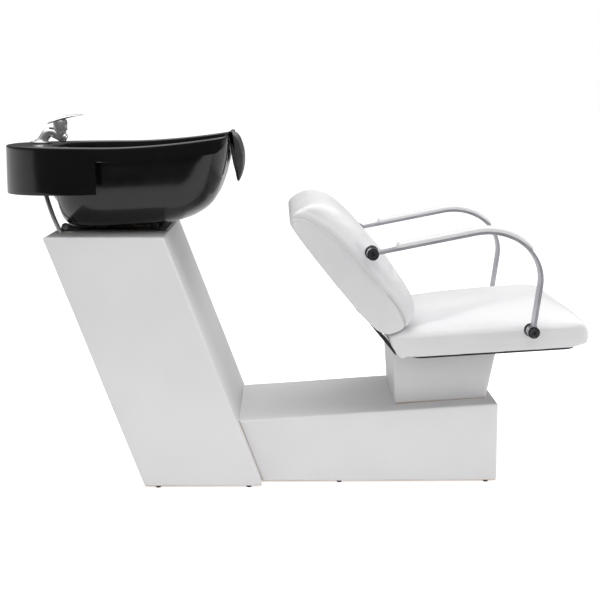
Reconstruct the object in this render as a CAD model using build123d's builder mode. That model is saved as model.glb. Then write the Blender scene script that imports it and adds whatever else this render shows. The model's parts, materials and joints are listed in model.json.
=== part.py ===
from build123d import *
import math
import os

# Shampoo backwash unit: a leaning column carries a tilting basin, a low beam runs forward
# from the column, and a plinth on the beam carries a reclined chair with two arms.
# Millimetres. +X runs from the basin to the foot end of the chair, +Z is up, and the
# origin is on the floor at the middle of the whole unit.

# ---- driving dimensions ---------------------------------------------------------------
HALF_LENGTH = 645.0          # basin skirt at the rear, front of the seat at the front
PANEL = 12.0                 # plywood of every carcass
SKIN = 2.0                   # leatherette with its thin foam backing
FOOT_HEIGHT = 4.0

COLUMN_WIDTH = 440.0
COLUMN_TOP = 558.0
COLUMN_DEPTH = 261.0         # along X
COLUMN_FOOT_X = -328.0       # rear bottom corner
COLUMN_HEAD_X = -538.0       # rear top corner

BEAM_WIDTH = 370.0
BEAM_FRONT_X = 459.0
BEAM_FRONT_TOP = 181.0
BEAM_SLOPE = 0.0656          # rise of the top per millimetre towards the chair

PLINTH_WIDTH = 250.0
PLINTH_BOTTOM = (234.0, 440.0)
PLINTH_TOP = (226.0, 466.0)

SEAT_WIDTH = 510.0
SEAT_REAR = (262.0, 295.7)   # rear lower corner of the seat pan, in X and Z
SEAT_ANGLE = 3.46
SEAT_PAN = 5.0
SEAT_BOARD = 12.0

BACK_WIDTH = 490.0
BACK_FOOT = (190.0, 346.0)   # lower end of the rear face of the backrest, in X and Z
BACK_ANGLE = 39.2            # recline from the vertical
BACK_LENGTH = 323.0
BACK_SEAM = 58.0             # from the rear face to the seam with the front pad

ARM_OUTER_Y = 292.0
ARM_WIDTH = 36.0
ARM_BAR = 6.0
ARM_PATH = [(169.0, 528.0), (444.6, 582.3), (533.6, 511.9), (513.0, 360.0)]
ARM_RADII = [130.0, 93.0]
ARM_PAD = 11.0
ARM_PAD_WIDTH = 46.0
ARM_BOLT_R = 4.0

BASIN_HALF_WIDTH = 252.0
BASIN_FRONT_X = -138.0
BASIN_WALL = 4.5
BASIN_REAR_RADIUS = 235.0
BASIN_FRONT_RADIUS = 35.0
DECK_TOP = 750.0
HORN_TOP = 772.0
SKIRT_BOTTOM = 641.0
SKIRT_END_X = -416.0
FLANGE_HEIGHT = 31.0
BOWL_FLOOR = (-444.0, 571.0)  # a point of the outer floor, in X and Z
BOWL_FLOOR_ANGLE = 3.0
DRAIN_X = -395.0
NOTCH = (85.0, 38.0)          # half width and depth of the neck notch

HINGE_X = -507.0
HINGE_Z = 568.0
HINGE_PIN_R = 4.0
RUNNING = 0.05                # radial clearance of a pin that turns
BASE_PLATE = 4.0
EAR_Y = 92.0                  # inner face of each fixed ear
EAR = 5.0

TAP_X = -574.0                # centre of the tap's foot on the deck
LEVER_X = -528.0              # axis that the lever turns about
HOSE_R = 5.0
HOSE_Y = 110.0                # where each hose enters the column
HOSE_PATH = [
    (-574.0, 8.0, 722.0), (-574.0, 8.0, 697.0), (-570.5, 17.0, 671.0), (-561.0, 38.0, 645.0),
    (-549.0, 64.0, 619.0), (-535.5, 87.0, 591.0), (-520.0, 104.0, 563.0), (-502.5, 111.0, 530.0),
    (-483.5, 112.0, 496.0), (-463.0, 110.0, 463.0), (-438.0, 107.0, 432.0), (-413.0, 103.0, 401.0),
    (-389.0, 99.0, 369.0), (-371.0, 96.0, 337.0), (-366.0, 95.0, 309.0), (-366.0, 95.0, 285.0),
]

# ---- derived values -------------------------------------------------------------------
LEAN = (COLUMN_FOOT_X - COLUMN_HEAD_X) / (COLUMN_TOP - FOOT_HEIGHT)
COS_LEAN = math.cos(math.atan(LEAN))
HALF_COLUMN = COLUMN_WIDTH / 2
HALF_BEAM = BEAM_WIDTH / 2
HALF_PLINTH = PLINTH_WIDTH / 2
HALF_SEAT = SEAT_WIDTH / 2
HALF_BACK = BACK_WIDTH / 2
ARM_MIDDLE_Y = ARM_OUTER_Y - ARM_WIDTH / 2

seat_cos = math.cos(math.radians(SEAT_ANGLE))
seat_sin = math.sin(math.radians(SEAT_ANGLE))
back_cos = math.cos(math.radians(BACK_ANGLE))
back_sin = math.sin(math.radians(BACK_ANGLE))
floor_slope = math.tan(math.radians(BOWL_FLOOR_ANGLE))

# side view of the seat: x runs forward along the pan, y away from it
SEAT_SIDE = Plane(
    origin=(SEAT_REAR[0], 0, SEAT_REAR[1]), x_dir=(seat_cos, 0, seat_sin), z_dir=(0, -1, 0)
)
# view of the seat from its rear end: x runs across, y away from the pan
SEAT_END = Plane(
    origin=(SEAT_REAR[0], 0, SEAT_REAR[1]), x_dir=(0, 1, 0), z_dir=(seat_cos, 0, seat_sin)
)
# plan of the seat pan, seen square to it
SEAT_PLAN = Plane(
    origin=(SEAT_REAR[0], 0, SEAT_REAR[1]), x_dir=(seat_cos, 0, seat_sin), z_dir=(-seat_sin, 0, seat_cos)
)
# side view of the backrest: x runs forward from its rear face, y up along it
BACK_SIDE = Plane(
    origin=(BACK_FOOT[0], 0, BACK_FOOT[1]), x_dir=(back_cos, 0, back_sin), z_dir=(0, -1, 0)
)
# plan of the backrest's rear face: x runs across, y up along it, normal forward
BACK_FACE = Plane(
    origin=(BACK_FOOT[0], 0, BACK_FOOT[1]), x_dir=(0, 1, 0), z_dir=(back_cos, 0, back_sin)
)
# the bowl's floor, x forward
BOWL_PLANE = Plane(
    origin=(BOWL_FLOOR[0], 0, BOWL_FLOOR[1]),
    x_dir=(math.cos(math.radians(BOWL_FLOOR_ANGLE)), 0, math.sin(math.radians(BOWL_FLOOR_ANGLE))),
    z_dir=(-math.sin(math.radians(BOWL_FLOOR_ANGLE)), 0, math.cos(math.radians(BOWL_FLOOR_ANGLE))),
)

os.makedirs("parts", exist_ok=True)
pieces = []


def save(builder, node):
    builder.part.label = node
    export_step(builder.part, f"parts/{node}.step")
    pieces.append(builder.part)


def column_rear(z):
    return COLUMN_FOOT_X - (z - FOOT_HEIGHT) * LEAN


def column_outline(inset, low, high):
    """Side view of the column, its leaning faces moved in by inset."""
    step = inset / COS_LEAN
    return [
        (column_rear(low) + step, low),
        (column_rear(low) + COLUMN_DEPTH - step, low),
        (column_rear(high) + COLUMN_DEPTH - step, high),
        (column_rear(high) + step, high),
    ]


def column_wall(near, far, low, high, front):
    """Side view of one leaning wall, between two distances in from the outside."""
    a, b = near / COS_LEAN, far / COS_LEAN
    if front:
        low_x, high_x = column_rear(low) + COLUMN_DEPTH, column_rear(high) + COLUMN_DEPTH
        return [(low_x - b, low), (low_x - a, low), (high_x - a, high), (high_x - b, high)]
    low_x, high_x = column_rear(low), column_rear(high)
    return [(low_x + a, low), (low_x + b, low), (high_x + b, high), (high_x + a, high)]


def beam_top(x):
    return BEAM_FRONT_TOP - (BEAM_FRONT_X - x) * BEAM_SLOPE


def column_front(z):
    return column_rear(z) + COLUMN_DEPTH


def beam_outline(inset, low):
    """Side view of the beam from the column's front face, moved in from its top and front."""
    front = BEAM_FRONT_X - inset
    rear_low = column_front(low)
    # the top line meets the leaning face of the column
    rear_top = (column_front(0) + LEAN * (BEAM_FRONT_X * BEAM_SLOPE - BEAM_FRONT_TOP + inset))
    rear_top = rear_top / (1 + LEAN * BEAM_SLOPE)
    return [
        (rear_low, low),
        (front, low),
        (front, beam_top(front) - inset),
        (rear_top, beam_top(rear_top) - inset),
    ]


# ---- column ---------------------------------------------------------------------------
CARCASS_TOP = COLUMN_TOP - SKIN
SKIRTING = 3.0               # the covers stop this far above the carcass bottom
HOSE_SLOT = (36.0, 26.0)     # along X and Y
PLATE_X = (-500.0, -281.0)

with BuildPart() as column_side_panels:
    with BuildSketch(Plane.XZ.offset(-HALF_COLUMN + SKIN)):
        Polygon(*column_outline(SKIN, FOOT_HEIGHT, CARCASS_TOP), align=None)
    extrude(amount=PANEL)
    mirror(about=Plane.XZ)
save(column_side_panels, "column_side_panels")

with BuildPart() as column_front_panel:
    with BuildSketch(Plane.XZ):
        Polygon(*column_wall(SKIN, SKIN + PANEL, FOOT_HEIGHT, CARCASS_TOP - PANEL, True), align=None)
    extrude(amount=HALF_COLUMN - SKIN - PANEL, both=True)
    with Locations((column_front(60) + 5, 0, 60), (column_front(110) + 5, 0, 110)):
        with GridLocations(0, 240, 1, 2):
            Cylinder(5.2, 60, rotation=(0, 90, 0), mode=Mode.SUBTRACT)
save(column_front_panel, "column_front_panel")

ACCESS = (60.0, 420.0, 130.0)  # low and high edge in Z, half width, of the service opening
with BuildPart() as column_rear_panel:
    with BuildSketch(Plane.XZ):
        Polygon(*column_wall(SKIN, SKIN + PANEL, FOOT_HEIGHT, CARCASS_TOP - PANEL, False), align=None)
    extrude(amount=HALF_COLUMN - SKIN - PANEL, both=True)
    with BuildSketch(Plane.XZ):
        Polygon(*column_wall(-5, SKIN + PANEL + 5, ACCESS[0], ACCESS[1], False), align=None)
    extrude(amount=ACCESS[2], both=True, mode=Mode.SUBTRACT)
save(column_rear_panel, "column_rear_panel")

with BuildPart() as access_panel:
    with BuildSketch(Plane.XZ):
        Polygon(*column_wall(-4, 0, ACCESS[0] - 18, ACCESS[1] + 18, False), align=None)
    extrude(amount=ACCESS[2] + 18, both=True)
    with BuildSketch(Plane.XZ):
        Polygon(*column_wall(0, PANEL, ACCESS[0] + 1, ACCESS[1] - 1, False), align=None)
    extrude(amount=ACCESS[2] - 1, both=True)
save(access_panel, "access_panel")

rear_normal = Plane(
    origin=(column_rear(240) - 4 / COS_LEAN, 0, 240),
    x_dir=(0, 1, 0),
    z_dir=(-COS_LEAN, 0, -math.sin(math.atan(LEAN))),
)
ACCESS_SCREW_SPACING = (278.0, 400.0)
with BuildPart() as access_screws:
    with BuildSketch(rear_normal):
        with GridLocations(*ACCESS_SCREW_SPACING, 2, 2):
            Circle(5)
    extrude(amount=2.5)
    fillet(access_screws.faces().filter_by(GeomType.PLANE).sort_by(Axis.X)[:4].edges(), 1.2)
save(access_screws, "access_screws")

with BuildPart() as column_top_board:
    with BuildSketch(Plane.XZ):
        Polygon(*column_outline(SKIN, CARCASS_TOP - PANEL, CARCASS_TOP), align=None)
    extrude(amount=HALF_COLUMN - SKIN - PANEL, both=True)
    with BuildSketch(Plane.XY.offset(CARCASS_TOP)):
        with Locations((HINGE_X, HOSE_Y), (HINGE_X, -HOSE_Y)):
            RectangleRounded(*HOSE_SLOT, 6)
        with Locations((DRAIN_X, 0)):
            RectangleRounded(110, 100, 20)
    extrude(amount=-PANEL - 1, mode=Mode.SUBTRACT)
save(column_top_board, "column_top_board")

with BuildPart() as column_cover:
    with BuildSketch(Plane.XZ):
        Polygon(*column_outline(0, FOOT_HEIGHT + SKIRTING, COLUMN_TOP), align=None)
    extrude(amount=HALF_COLUMN, both=True)
    fillet(column_cover.edges().filter_by(Axis.Y).group_by(Axis.Z)[-1], 1.5)
    with BuildSketch(Plane.XZ):
        Polygon(*column_outline(SKIN, 0, CARCASS_TOP), align=None)
    extrude(amount=HALF_COLUMN - SKIN, both=True, mode=Mode.SUBTRACT)
    with BuildSketch(Plane.XY.offset(COLUMN_TOP)):
        with Locations((HINGE_X, HOSE_Y), (HINGE_X, -HOSE_Y)):
            RectangleRounded(*HOSE_SLOT, 6)
        with Locations((DRAIN_X, 0)):
            RectangleRounded(110, 100, 20)
    extrude(amount=-PANEL, mode=Mode.SUBTRACT)
    with BuildSketch(Plane.XZ):
        Polygon(*column_wall(-5, SKIN + 1, ACCESS[0], ACCESS[1], False), align=None)
    extrude(amount=ACCESS[2], both=True, mode=Mode.SUBTRACT)
    with Locations((column_front(60), 0, 60), (column_front(110), 0, 110)):
        with GridLocations(0, 240, 1, 2):
            Cylinder(5.2, 30, rotation=(0, 90, 0), mode=Mode.SUBTRACT)
save(column_cover, "column_cover")

# ---- beam -----------------------------------------------------------------------------
BEAM_BODY_HALF = HALF_BEAM - SKIN
with BuildPart() as beam_side_panels:
    with BuildSketch(Plane.XZ.offset(-BEAM_BODY_HALF)):
        Polygon(*beam_outline(SKIN, FOOT_HEIGHT), align=None)
    extrude(amount=PANEL)
    mirror(about=Plane.XZ)
save(beam_side_panels, "beam_side_panels")

with BuildPart() as beam_end_panel:
    with Locations((BEAM_FRONT_X - SKIN - PANEL / 2, 0, FOOT_HEIGHT)):
        Box(PANEL, 2 * (BEAM_BODY_HALF - PANEL), BEAM_FRONT_TOP - PANEL - SKIN - FOOT_HEIGHT - 3,
            align=(Align.CENTER, Align.CENTER, Align.MIN))
save(beam_end_panel, "beam_end_panel")

with BuildPart() as beam_rear_batten:
    with BuildSketch(Plane.XZ):
        Polygon(*[
            (column_front(20), 20), (column_front(20) + 18, 20),
            (column_front(116) + 18, 116), (column_front(116), 116),
        ], align=None)
    extrude(amount=BEAM_BODY_HALF - PANEL, both=True)
    with Locations((column_front(60) + 5, 0, 60), (column_front(110) + 5, 0, 110)):
        with GridLocations(0, 240, 1, 2):
            Cylinder(5.2, 80, rotation=(0, 90, 0), mode=Mode.SUBTRACT)
save(beam_rear_batten, "beam_rear_batten")

with BuildPart() as joining_bolts:
    for z in (60, 110):
        with Locations((column_front(z) + 4, 0, z)):
            with GridLocations(0, 240, 1, 2):
                Cylinder(5, 62, rotation=(0, 90, 0))
        with Locations((column_front(z) - 27, 0, z)):
            with GridLocations(0, 240, 1, 2):
                Cylinder(8.5, 7, rotation=(0, 90, 0))
        with Locations((column_front(z) + 35, 0, z)):
            with GridLocations(0, 240, 1, 2):
                Cylinder(8.5, 8, rotation=(0, 90, 0))
save(joining_bolts, "joining_bolts")

with BuildPart() as beam_top_panel:
    low_line = beam_outline(SKIN + PANEL, FOOT_HEIGHT)
    top_line = beam_outline(SKIN, FOOT_HEIGHT)
    with BuildSketch(Plane.XZ):
        Polygon(low_line[3], (top_line[2][0], beam_top(top_line[2][0]) - SKIN - PANEL), top_line[2],
                top_line[3], align=None)
    extrude(amount=BEAM_BODY_HALF - PANEL, both=True)
save(beam_top_panel, "beam_top_panel")

with BuildPart() as beam_cover:
    with BuildSketch(Plane.XZ):
        Polygon(*beam_outline(0, FOOT_HEIGHT + SKIRTING), align=None)
    extrude(amount=HALF_BEAM, both=True)
    with BuildSketch(Plane.XZ):
        Polygon(*beam_outline(SKIN, FOOT_HEIGHT), align=None)
    extrude(amount=BEAM_BODY_HALF, both=True, mode=Mode.SUBTRACT)
    with Locations((column_front(0) + 40, 0, 0)):
        Box(400, 2 * BEAM_BODY_HALF, 2 * (FOOT_HEIGHT + SKIRTING), mode=Mode.SUBTRACT)
save(beam_cover, "beam_cover")

with BuildPart() as feet:
    with Locations((COLUMN_FOOT_X + COLUMN_DEPTH / 2, 0, 0)):
        with GridLocations(COLUMN_DEPTH - 60, 2 * (HALF_COLUMN - SKIN - PANEL / 2), 2, 2):
            Cylinder(5.5, FOOT_HEIGHT, align=(Align.CENTER, Align.CENTER, Align.MIN))
    with Locations((270, 0, 0)):
        with GridLocations(330, 2 * (BEAM_BODY_HALF - PANEL / 2), 2, 2):
            Cylinder(5.5, FOOT_HEIGHT, align=(Align.CENTER, Align.CENTER, Align.MIN))
save(feet, "feet")

# ---- plinth ---------------------------------------------------------------------------
PLINTH_BODY_HALF = HALF_PLINTH - SKIN


def pan_under(x):
    """Height of the seat pan's underside."""
    return SEAT_REAR[1] + (x - SEAT_REAR[0]) * math.tan(math.radians(SEAT_ANGLE))


def plinth_outline(inset, top_gap):
    return [
        (PLINTH_BOTTOM[0] + inset, beam_top(PLINTH_BOTTOM[0] + inset)),
        (PLINTH_BOTTOM[1] - inset, beam_top(PLINTH_BOTTOM[1] - inset)),
        (PLINTH_TOP[1] - inset, pan_under(PLINTH_TOP[1] - inset) - top_gap),
        (PLINTH_TOP[0] + inset, pan_under(PLINTH_TOP[0] + inset) - top_gap),
    ]


with BuildPart() as plinth_side_panels:
    with BuildSketch(Plane.XZ.offset(-PLINTH_BODY_HALF)):
        Polygon(*plinth_outline(SKIN, 0), align=None)
    extrude(amount=PANEL)
    mirror(about=Plane.XZ)
save(plinth_side_panels, "plinth_side_panels")

with BuildPart() as plinth_end_panels:
    with BuildSketch(Plane.XZ):
        Polygon(*plinth_outline(SKIN, 0), align=None)
        Polygon(*plinth_outline(SKIN + PANEL, 0), align=None, mode=Mode.SUBTRACT)
    extrude(amount=PLINTH_BODY_HALF - PANEL, both=True)
save(plinth_end_panels, "plinth_end_panels")

with BuildPart() as plinth_cover:
    with BuildSketch(Plane.XZ):
        Polygon(*plinth_outline(0, 0), align=None)
    extrude(amount=HALF_PLINTH, both=True)
    with BuildSketch(Plane.XZ):
        Polygon(*plinth_outline(SKIN, 0), align=None)
    extrude(amount=PLINTH_BODY_HALF, both=True, mode=Mode.SUBTRACT)
save(plinth_cover, "plinth_cover")

# ---- seat -----------------------------------------------------------------------------
SEAT_LENGTH = 352.0          # of the pan, along its slope
CUSHION_BASE = SEAT_PAN + SEAT_BOARD
with BuildPart() as seat_pan:
    with BuildSketch(SEAT_PLAN):
        with Locations((SEAT_LENGTH / 2, 0)):
            RectangleRounded(SEAT_LENGTH, SEAT_WIDTH - 12, 25)
    extrude(amount=SEAT_PAN)
save(seat_pan, "seat_pan")

with BuildPart() as seat_board:
    with BuildSketch(SEAT_PLAN.offset(SEAT_PAN)):
        with Locations((SEAT_LENGTH / 2, 0)):
            RectangleRounded(SEAT_LENGTH, SEAT_WIDTH - 40, 25)
    extrude(amount=SEAT_BOARD)
save(seat_board, "seat_board")

with BuildPart() as seat_cushion:
    with BuildSketch(SEAT_SIDE):
        with BuildLine():
            Polyline((-32, 6), (-51, 32), (-52.5, 50))
            Spline((-52.5, 50), (-10, 57), (120, 76), (225, 90), (312, 86), (370, 56),
                   tangents=[(1, 0.4), (0.3, -1)])
            Polyline((370, 56), (385.5, 30), (379, 10), (352, 0.6 + SEAT_PAN), (-32, 6))
        make_face()
    extrude(amount=HALF_SEAT, both=True)
    with BuildSketch(SEAT_END):
        with BuildLine():
            Polyline((-HALF_SEAT, 52), (-HALF_SEAT, -10), (HALF_SEAT, -10), (HALF_SEAT, 52))
            ThreePointArc((HALF_SEAT, 52), (0, 96), (-HALF_SEAT, 52))
        make_face()
    extrude(amount=500, both=True, mode=Mode.INTERSECT)
    with BuildSketch(SEAT_PLAN):
        with Locations((SEAT_LENGTH / 2, 0)):
            RectangleRounded(SEAT_LENGTH + 1, SEAT_WIDTH - 39, 25)
    extrude(amount=CUSHION_BASE + 0.4, mode=Mode.SUBTRACT)
save(seat_cushion, "seat_cushion")

PLINTH_BOARD = 15.0
with BuildPart() as plinth_top_board:
    with BuildSketch(Plane.XZ):
        Polygon(*plinth_outline(SKIN + PANEL, 0), align=None)
        Polygon(*plinth_outline(0, PLINTH_BOARD), align=None, mode=Mode.SUBTRACT)
    extrude(amount=PLINTH_BODY_HALF - PANEL, both=True)
save(plinth_top_board, "plinth_top_board")

SEAT_BOLTS = (110.0, 150.0)  # spacing along the pan and across it
with BuildPart() as seat_bolts:
    with BuildSketch(SEAT_PLAN.offset(-PLINTH_BOARD)):
        with Locations((88, 0)):
            with GridLocations(*SEAT_BOLTS, 2, 2):
                RegularPolygon(7.5, 6)
    extrude(amount=-5.5)
save(seat_bolts, "seat_bolts")

# ---- backrest -------------------------------------------------------------------------
SEAM_GAP = 0.4
with BuildPart() as backrest_body:
    with BuildSketch(BACK_SIDE):
        with BuildLine():
            Polyline((0, 12), (0, BACK_LENGTH - 12))
            TangentArc((0, BACK_LENGTH - 12), (14, BACK_LENGTH), tangent=(0, 1))
            Polyline((14, BACK_LENGTH), (52, BACK_LENGTH - 2), (BACK_SEAM, BACK_LENGTH - 14),
                     (BACK_SEAM, -10))
            Spline((BACK_SEAM, -10), (40, -24), (12, -10), (0, 12), tangents=[(-0.6, -1), (-0.2, 1)])
        make_face()
    extrude(amount=HALF_BACK, both=True)
    fillet(backrest_body.edges().group_by(Axis.Y)[0].sort_by(Axis.Z)[-3:], 6)
save(backrest_body, "backrest_body")

with BuildPart() as backrest_pad:
    with BuildSketch(BACK_SIDE):
        with BuildLine():
            low = BACK_SEAM + SEAM_GAP
            front = FilletPolyline((low, 316), (84, 312), (104, 250), (109, 90), (93, -14), (low, -12),
                                   radius=[18, 90, 150, 16])
            Line(front @ 1, front @ 0)
        make_face()
    extrude(amount=HALF_BACK - 2, both=True)
save(backrest_pad, "backrest_pad")

BRACKET_Y = 150.0
BRACKET_BAR = (40.0, 6.0)    # width and thickness
BRACKET_TOP = 150.0          # how far the leg reaches up the backrest
BRACKET_FOOT = 112.0         # how far the foot reaches along the pan


def on_back(forward, up):
    return BACK_SIDE.from_local_coords(Vector(forward, up, 0))


def on_seat(forward, up):
    return SEAT_SIDE.from_local_coords(Vector(forward, up, 0))


def bracket_corner():
    """Where the bracket's leg, 3 mm behind the backrest, meets its foot, 3 mm under the pan."""
    start, end = on_seat(0, -BRACKET_BAR[1] / 2), on_seat(100, -BRACKET_BAR[1] / 2)
    leg = on_back(-BRACKET_BAR[1] / 2, 0)
    up = on_back(-BRACKET_BAR[1] / 2, 100) - leg
    run = end - start
    gap = start - leg
    share = (gap.X * run.Z - gap.Z * run.X) / (up.X * run.Z - up.Z * run.X)
    return leg + up * share


corner = bracket_corner()
leg_top = on_back(-BRACKET_BAR[1] / 2, BRACKET_TOP)
foot_end = on_seat(BRACKET_FOOT, -BRACKET_BAR[1] / 2)
for name, y in (("left", BRACKET_Y), ("right", -BRACKET_Y)):
    offset_y = Vector(0, y, 0)
    with BuildPart() as back_bracket:
        with BuildLine():
            path = FilletPolyline(leg_top + offset_y, corner + offset_y, foot_end + offset_y, radius=9)
        with BuildSketch(Plane(origin=leg_top + offset_y, x_dir=(0, 1, 0), z_dir=corner - leg_top)):
            Rectangle(*BRACKET_BAR)
        sweep(path=path)
    save(back_bracket, f"back_bracket_{name}")

BACK_SCREWS = (132.0, 59.0)  # heights up the rear face
with BuildPart() as bracket_screws:
    with BuildSketch(BACK_FACE.offset(-BRACKET_BAR[1])):
        for up in BACK_SCREWS:
            with Locations((BRACKET_Y, up), (-BRACKET_Y, up)):
                Circle(7)
    extrude(amount=-4)
    with BuildSketch(SEAT_PLAN.offset(-BRACKET_BAR[1])):
        for along in (20, 80):
            with Locations((along, BRACKET_Y), (along, -BRACKET_Y)):
                Circle(7)
    extrude(amount=-4)
save(bracket_screws, "bracket_screws")

# ---- arms -----------------------------------------------------------------------------
SLEEVE_R = 12.5
REAR_PIVOT = ARM_PATH[0]
FRONT_PIVOT = ARM_PATH[-1]


def shifted_path(distance):
    """The arm's corners moved out from its middle line."""
    rise = math.atan2(ARM_PATH[1][1] - ARM_PATH[0][1], ARM_PATH[1][0] - ARM_PATH[0][0])
    fall = math.atan2(ARM_PATH[2][1] - ARM_PATH[1][1], ARM_PATH[2][0] - ARM_PATH[1][0])
    drop = math.atan2(ARM_PATH[3][1] - ARM_PATH[2][1], ARM_PATH[3][0] - ARM_PATH[2][0])
    points = []
    for point, before, after in zip(ARM_PATH, (rise, rise, fall, drop), (rise, fall, drop, drop)):
        middle = (before + after) / 2 + math.pi / 2
        reach = distance / math.cos((before - after) / 2)
        points.append((point[0] + reach * math.cos(middle), point[1] + reach * math.sin(middle)))
    return points


def arm_band(inner, outer):
    """Side view of a strip that follows the arm, between two distances from its middle line."""
    low = FilletPolyline(*shifted_path(inner), radius=[r + inner for r in ARM_RADII])
    high = FilletPolyline(*shifted_path(outer), radius=[r + outer for r in ARM_RADII])
    Line(low @ 0, high @ 0)
    Line(low @ 1, high @ 1)


for name, side in (("left", 1), ("right", -1)):
    middle = side * ARM_MIDDLE_Y
    with BuildPart() as arm_bar:
        with BuildSketch(Plane.XZ.offset(-middle)):
            with BuildLine():
                arm_band(-ARM_BAR / 2, ARM_BAR / 2)
            make_face()
        extrude(amount=ARM_WIDTH / 2, both=True)
        for pivot in (REAR_PIVOT, FRONT_PIVOT):
            with Locations((pivot[0], middle, pivot[1])):
                Cylinder(SLEEVE_R + 0.2, ARM_WIDTH + 2, rotation=(90, 0, 0), mode=Mode.SUBTRACT)
    save(arm_bar, f"arm_bar_{name}")

    with BuildPart() as arm_sleeves:
        for pivot in (REAR_PIVOT, FRONT_PIVOT):
            with Locations((pivot[0], middle, pivot[1])):
                Cylinder(SLEEVE_R + 0.2, ARM_WIDTH, rotation=(90, 0, 0))
                Cylinder(ARM_BOLT_R, ARM_WIDTH + 2, rotation=(90, 0, 0), mode=Mode.SUBTRACT)
    save(arm_sleeves, f"arm_sleeves_{name}")

    with BuildPart() as arm_pad:
        with BuildSketch(Plane.XZ.offset(-middle)):
            with BuildLine():
                arm_band(ARM_BAR / 2, ARM_BAR / 2 + ARM_PAD)
            make_face()
        extrude(amount=ARM_PAD_WIDTH / 2, both=True)
        with Locations((218 - 100, middle, 540)):
            Box(200, 80, 200, mode=Mode.SUBTRACT)
        with Locations(Location((512, middle, 531), (0, 47, 0))):
            Box(300, 80, 150, align=(Align.MIN, Align.CENTER, Align.MAX), mode=Mode.SUBTRACT)
        with Locations((540, middle, 430)):
            Box(120, 80, 170, mode=Mode.SUBTRACT)
    save(arm_pad, f"arm_pad_{name}")

with BuildPart() as arm_bolts:
    for side in (1, -1):
        for pivot in (REAR_PIVOT, FRONT_PIVOT):
            shank = Plane(origin=(pivot[0], side * ARM_OUTER_Y, pivot[1]), z_dir=(0, side, 0))
            with BuildSketch(shank):
                Circle(9)
                RegularPolygon(4.5, 6, mode=Mode.SUBTRACT)
            extrude(amount=6)
            with BuildSketch(shank):
                Circle(9)
            extrude(amount=1.5)
save(arm_bolts, "arm_bolts")

with BuildPart() as arm_spacers:
    for side in (1, -1):
        for pivot, inner in ((REAR_PIVOT, HALF_BACK), (FRONT_PIVOT, HALF_SEAT)):
            with BuildSketch(Plane(origin=(pivot[0], side * inner, pivot[1]), z_dir=(0, side, 0))):
                Circle(15)
                Circle(ARM_BOLT_R, mode=Mode.SUBTRACT)
            extrude(amount=ARM_OUTER_Y - ARM_WIDTH - inner)
save(arm_spacers, "arm_spacers")

# ---- basin ----------------------------------------------------------------------------
# half width, rear and front of the bowl's outside, at heights above its floor
BOWL_SECTIONS = [
    (0, 128, -488, -262), (6, 156, -504, -232), (18, 178, -514, -203), (40, 198, -521, -174),
    (75, 213, -527, -157), (120, 223, -531, -145), (172, 230, -534, -139), (235, 233, -536, -138),
]
BOWL_HEIGHT = BOWL_SECTIONS[-1][0]


def plan_sketch(plane, rear, front, half, rear_radius, front_radius):
    """Rounded plan of the basin or of its bowl."""
    with BuildSketch(plane) as plan:
        with BuildLine():
            FilletPolyline(
                (rear, 5), (rear, half), (front, half), (front, -half), (rear, -half), (rear, -5),
                radius=[rear_radius, front_radius, front_radius, rear_radius],
            )
            Line((rear, -5), (rear, 5))
        make_face()
    return plan.sketch


def basin_plan(inset):
    return plan_sketch(
        Plane.XY.offset(600), -HALF_LENGTH + inset, BASIN_FRONT_X - inset, BASIN_HALF_WIDTH - inset,
        BASIN_REAR_RADIUS - inset, BASIN_FRONT_RADIUS - inset,
    )


def bowl_plans(shrink):
    """Plans of the bowl's walls and floor, moved in all round by shrink."""
    return [
        plan_sketch(
            BOWL_PLANE.offset(height + shrink), rear - BOWL_FLOOR[0] + shrink,
            front - BOWL_FLOOR[0] - shrink, half - shrink, 0.62 * half - shrink,
            half * (0.47 - 0.25 * height / BOWL_HEIGHT) - shrink,
        )
        for height, half, rear, front in BOWL_SECTIONS
    ]


BASIN_SIDE = Plane.XZ.offset(-300)
BASIN_SPAN = 600.0


def rim_points(drop):
    """Upper edge of the basin in side view, moved down by drop."""
    return [
        (-700, DECK_TOP - drop), (-400, DECK_TOP - drop), (-317, DECK_TOP + 3 - drop),
        (-210, DECK_TOP + 12 - drop), (-143, HORN_TOP - drop), (-120, HORN_TOP + 4 - drop),
    ]


def below_rim(drop, bottom):
    """Side view of everything between the rim line, moved down by drop, and a lower level."""
    points = rim_points(drop)
    with BuildSketch(BASIN_SIDE) as side:
        with BuildLine():
            Line(points[0], points[1])
            Spline(*points[1:], tangents=[(1, 0), (1, 0.35)])
            Polyline(points[-1], (points[-1][0], bottom), (points[0][0], bottom), points[0])
        make_face()
    return side.sketch


def above_flange():
    """Side view of everything above the flange's lower edge and the deeper skirt behind it."""
    # the flange's lower edge turns up to the rim where the basin's front begins
    points = rim_points(FLANGE_HEIGHT)[1:4] + [(-166, 737.5), (-147, 746), (-139.5, 760), (-137, 774)]
    with BuildSketch(BASIN_SIDE) as side:
        with BuildLine():
            Polyline((-700, 900), (-700, SKIRT_BOTTOM), (SKIRT_END_X, SKIRT_BOTTOM + 10),
                     (SKIRT_END_X, 684), (-446, DECK_TOP - FLANGE_HEIGHT), points[0])
            Spline(*points, tangents=[(1, 0), (0.1, 1)])
            Polyline(points[-1], (-137, 900), (-700, 900))
        make_face()
    return side.sketch


# the deck and lip, a plate that follows the rim line
with BuildPart() as rim_plate:
    add(basin_plan(0))
    extrude(amount=250, dir=(0, 0, 1))
    add(below_rim(0, 500))
    extrude(amount=BASIN_SPAN, dir=(0, -1, 0), mode=Mode.INTERSECT)
    add(below_rim(BASIN_WALL, 500))
    extrude(amount=BASIN_SPAN, dir=(0, -1, 0), mode=Mode.SUBTRACT)

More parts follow.
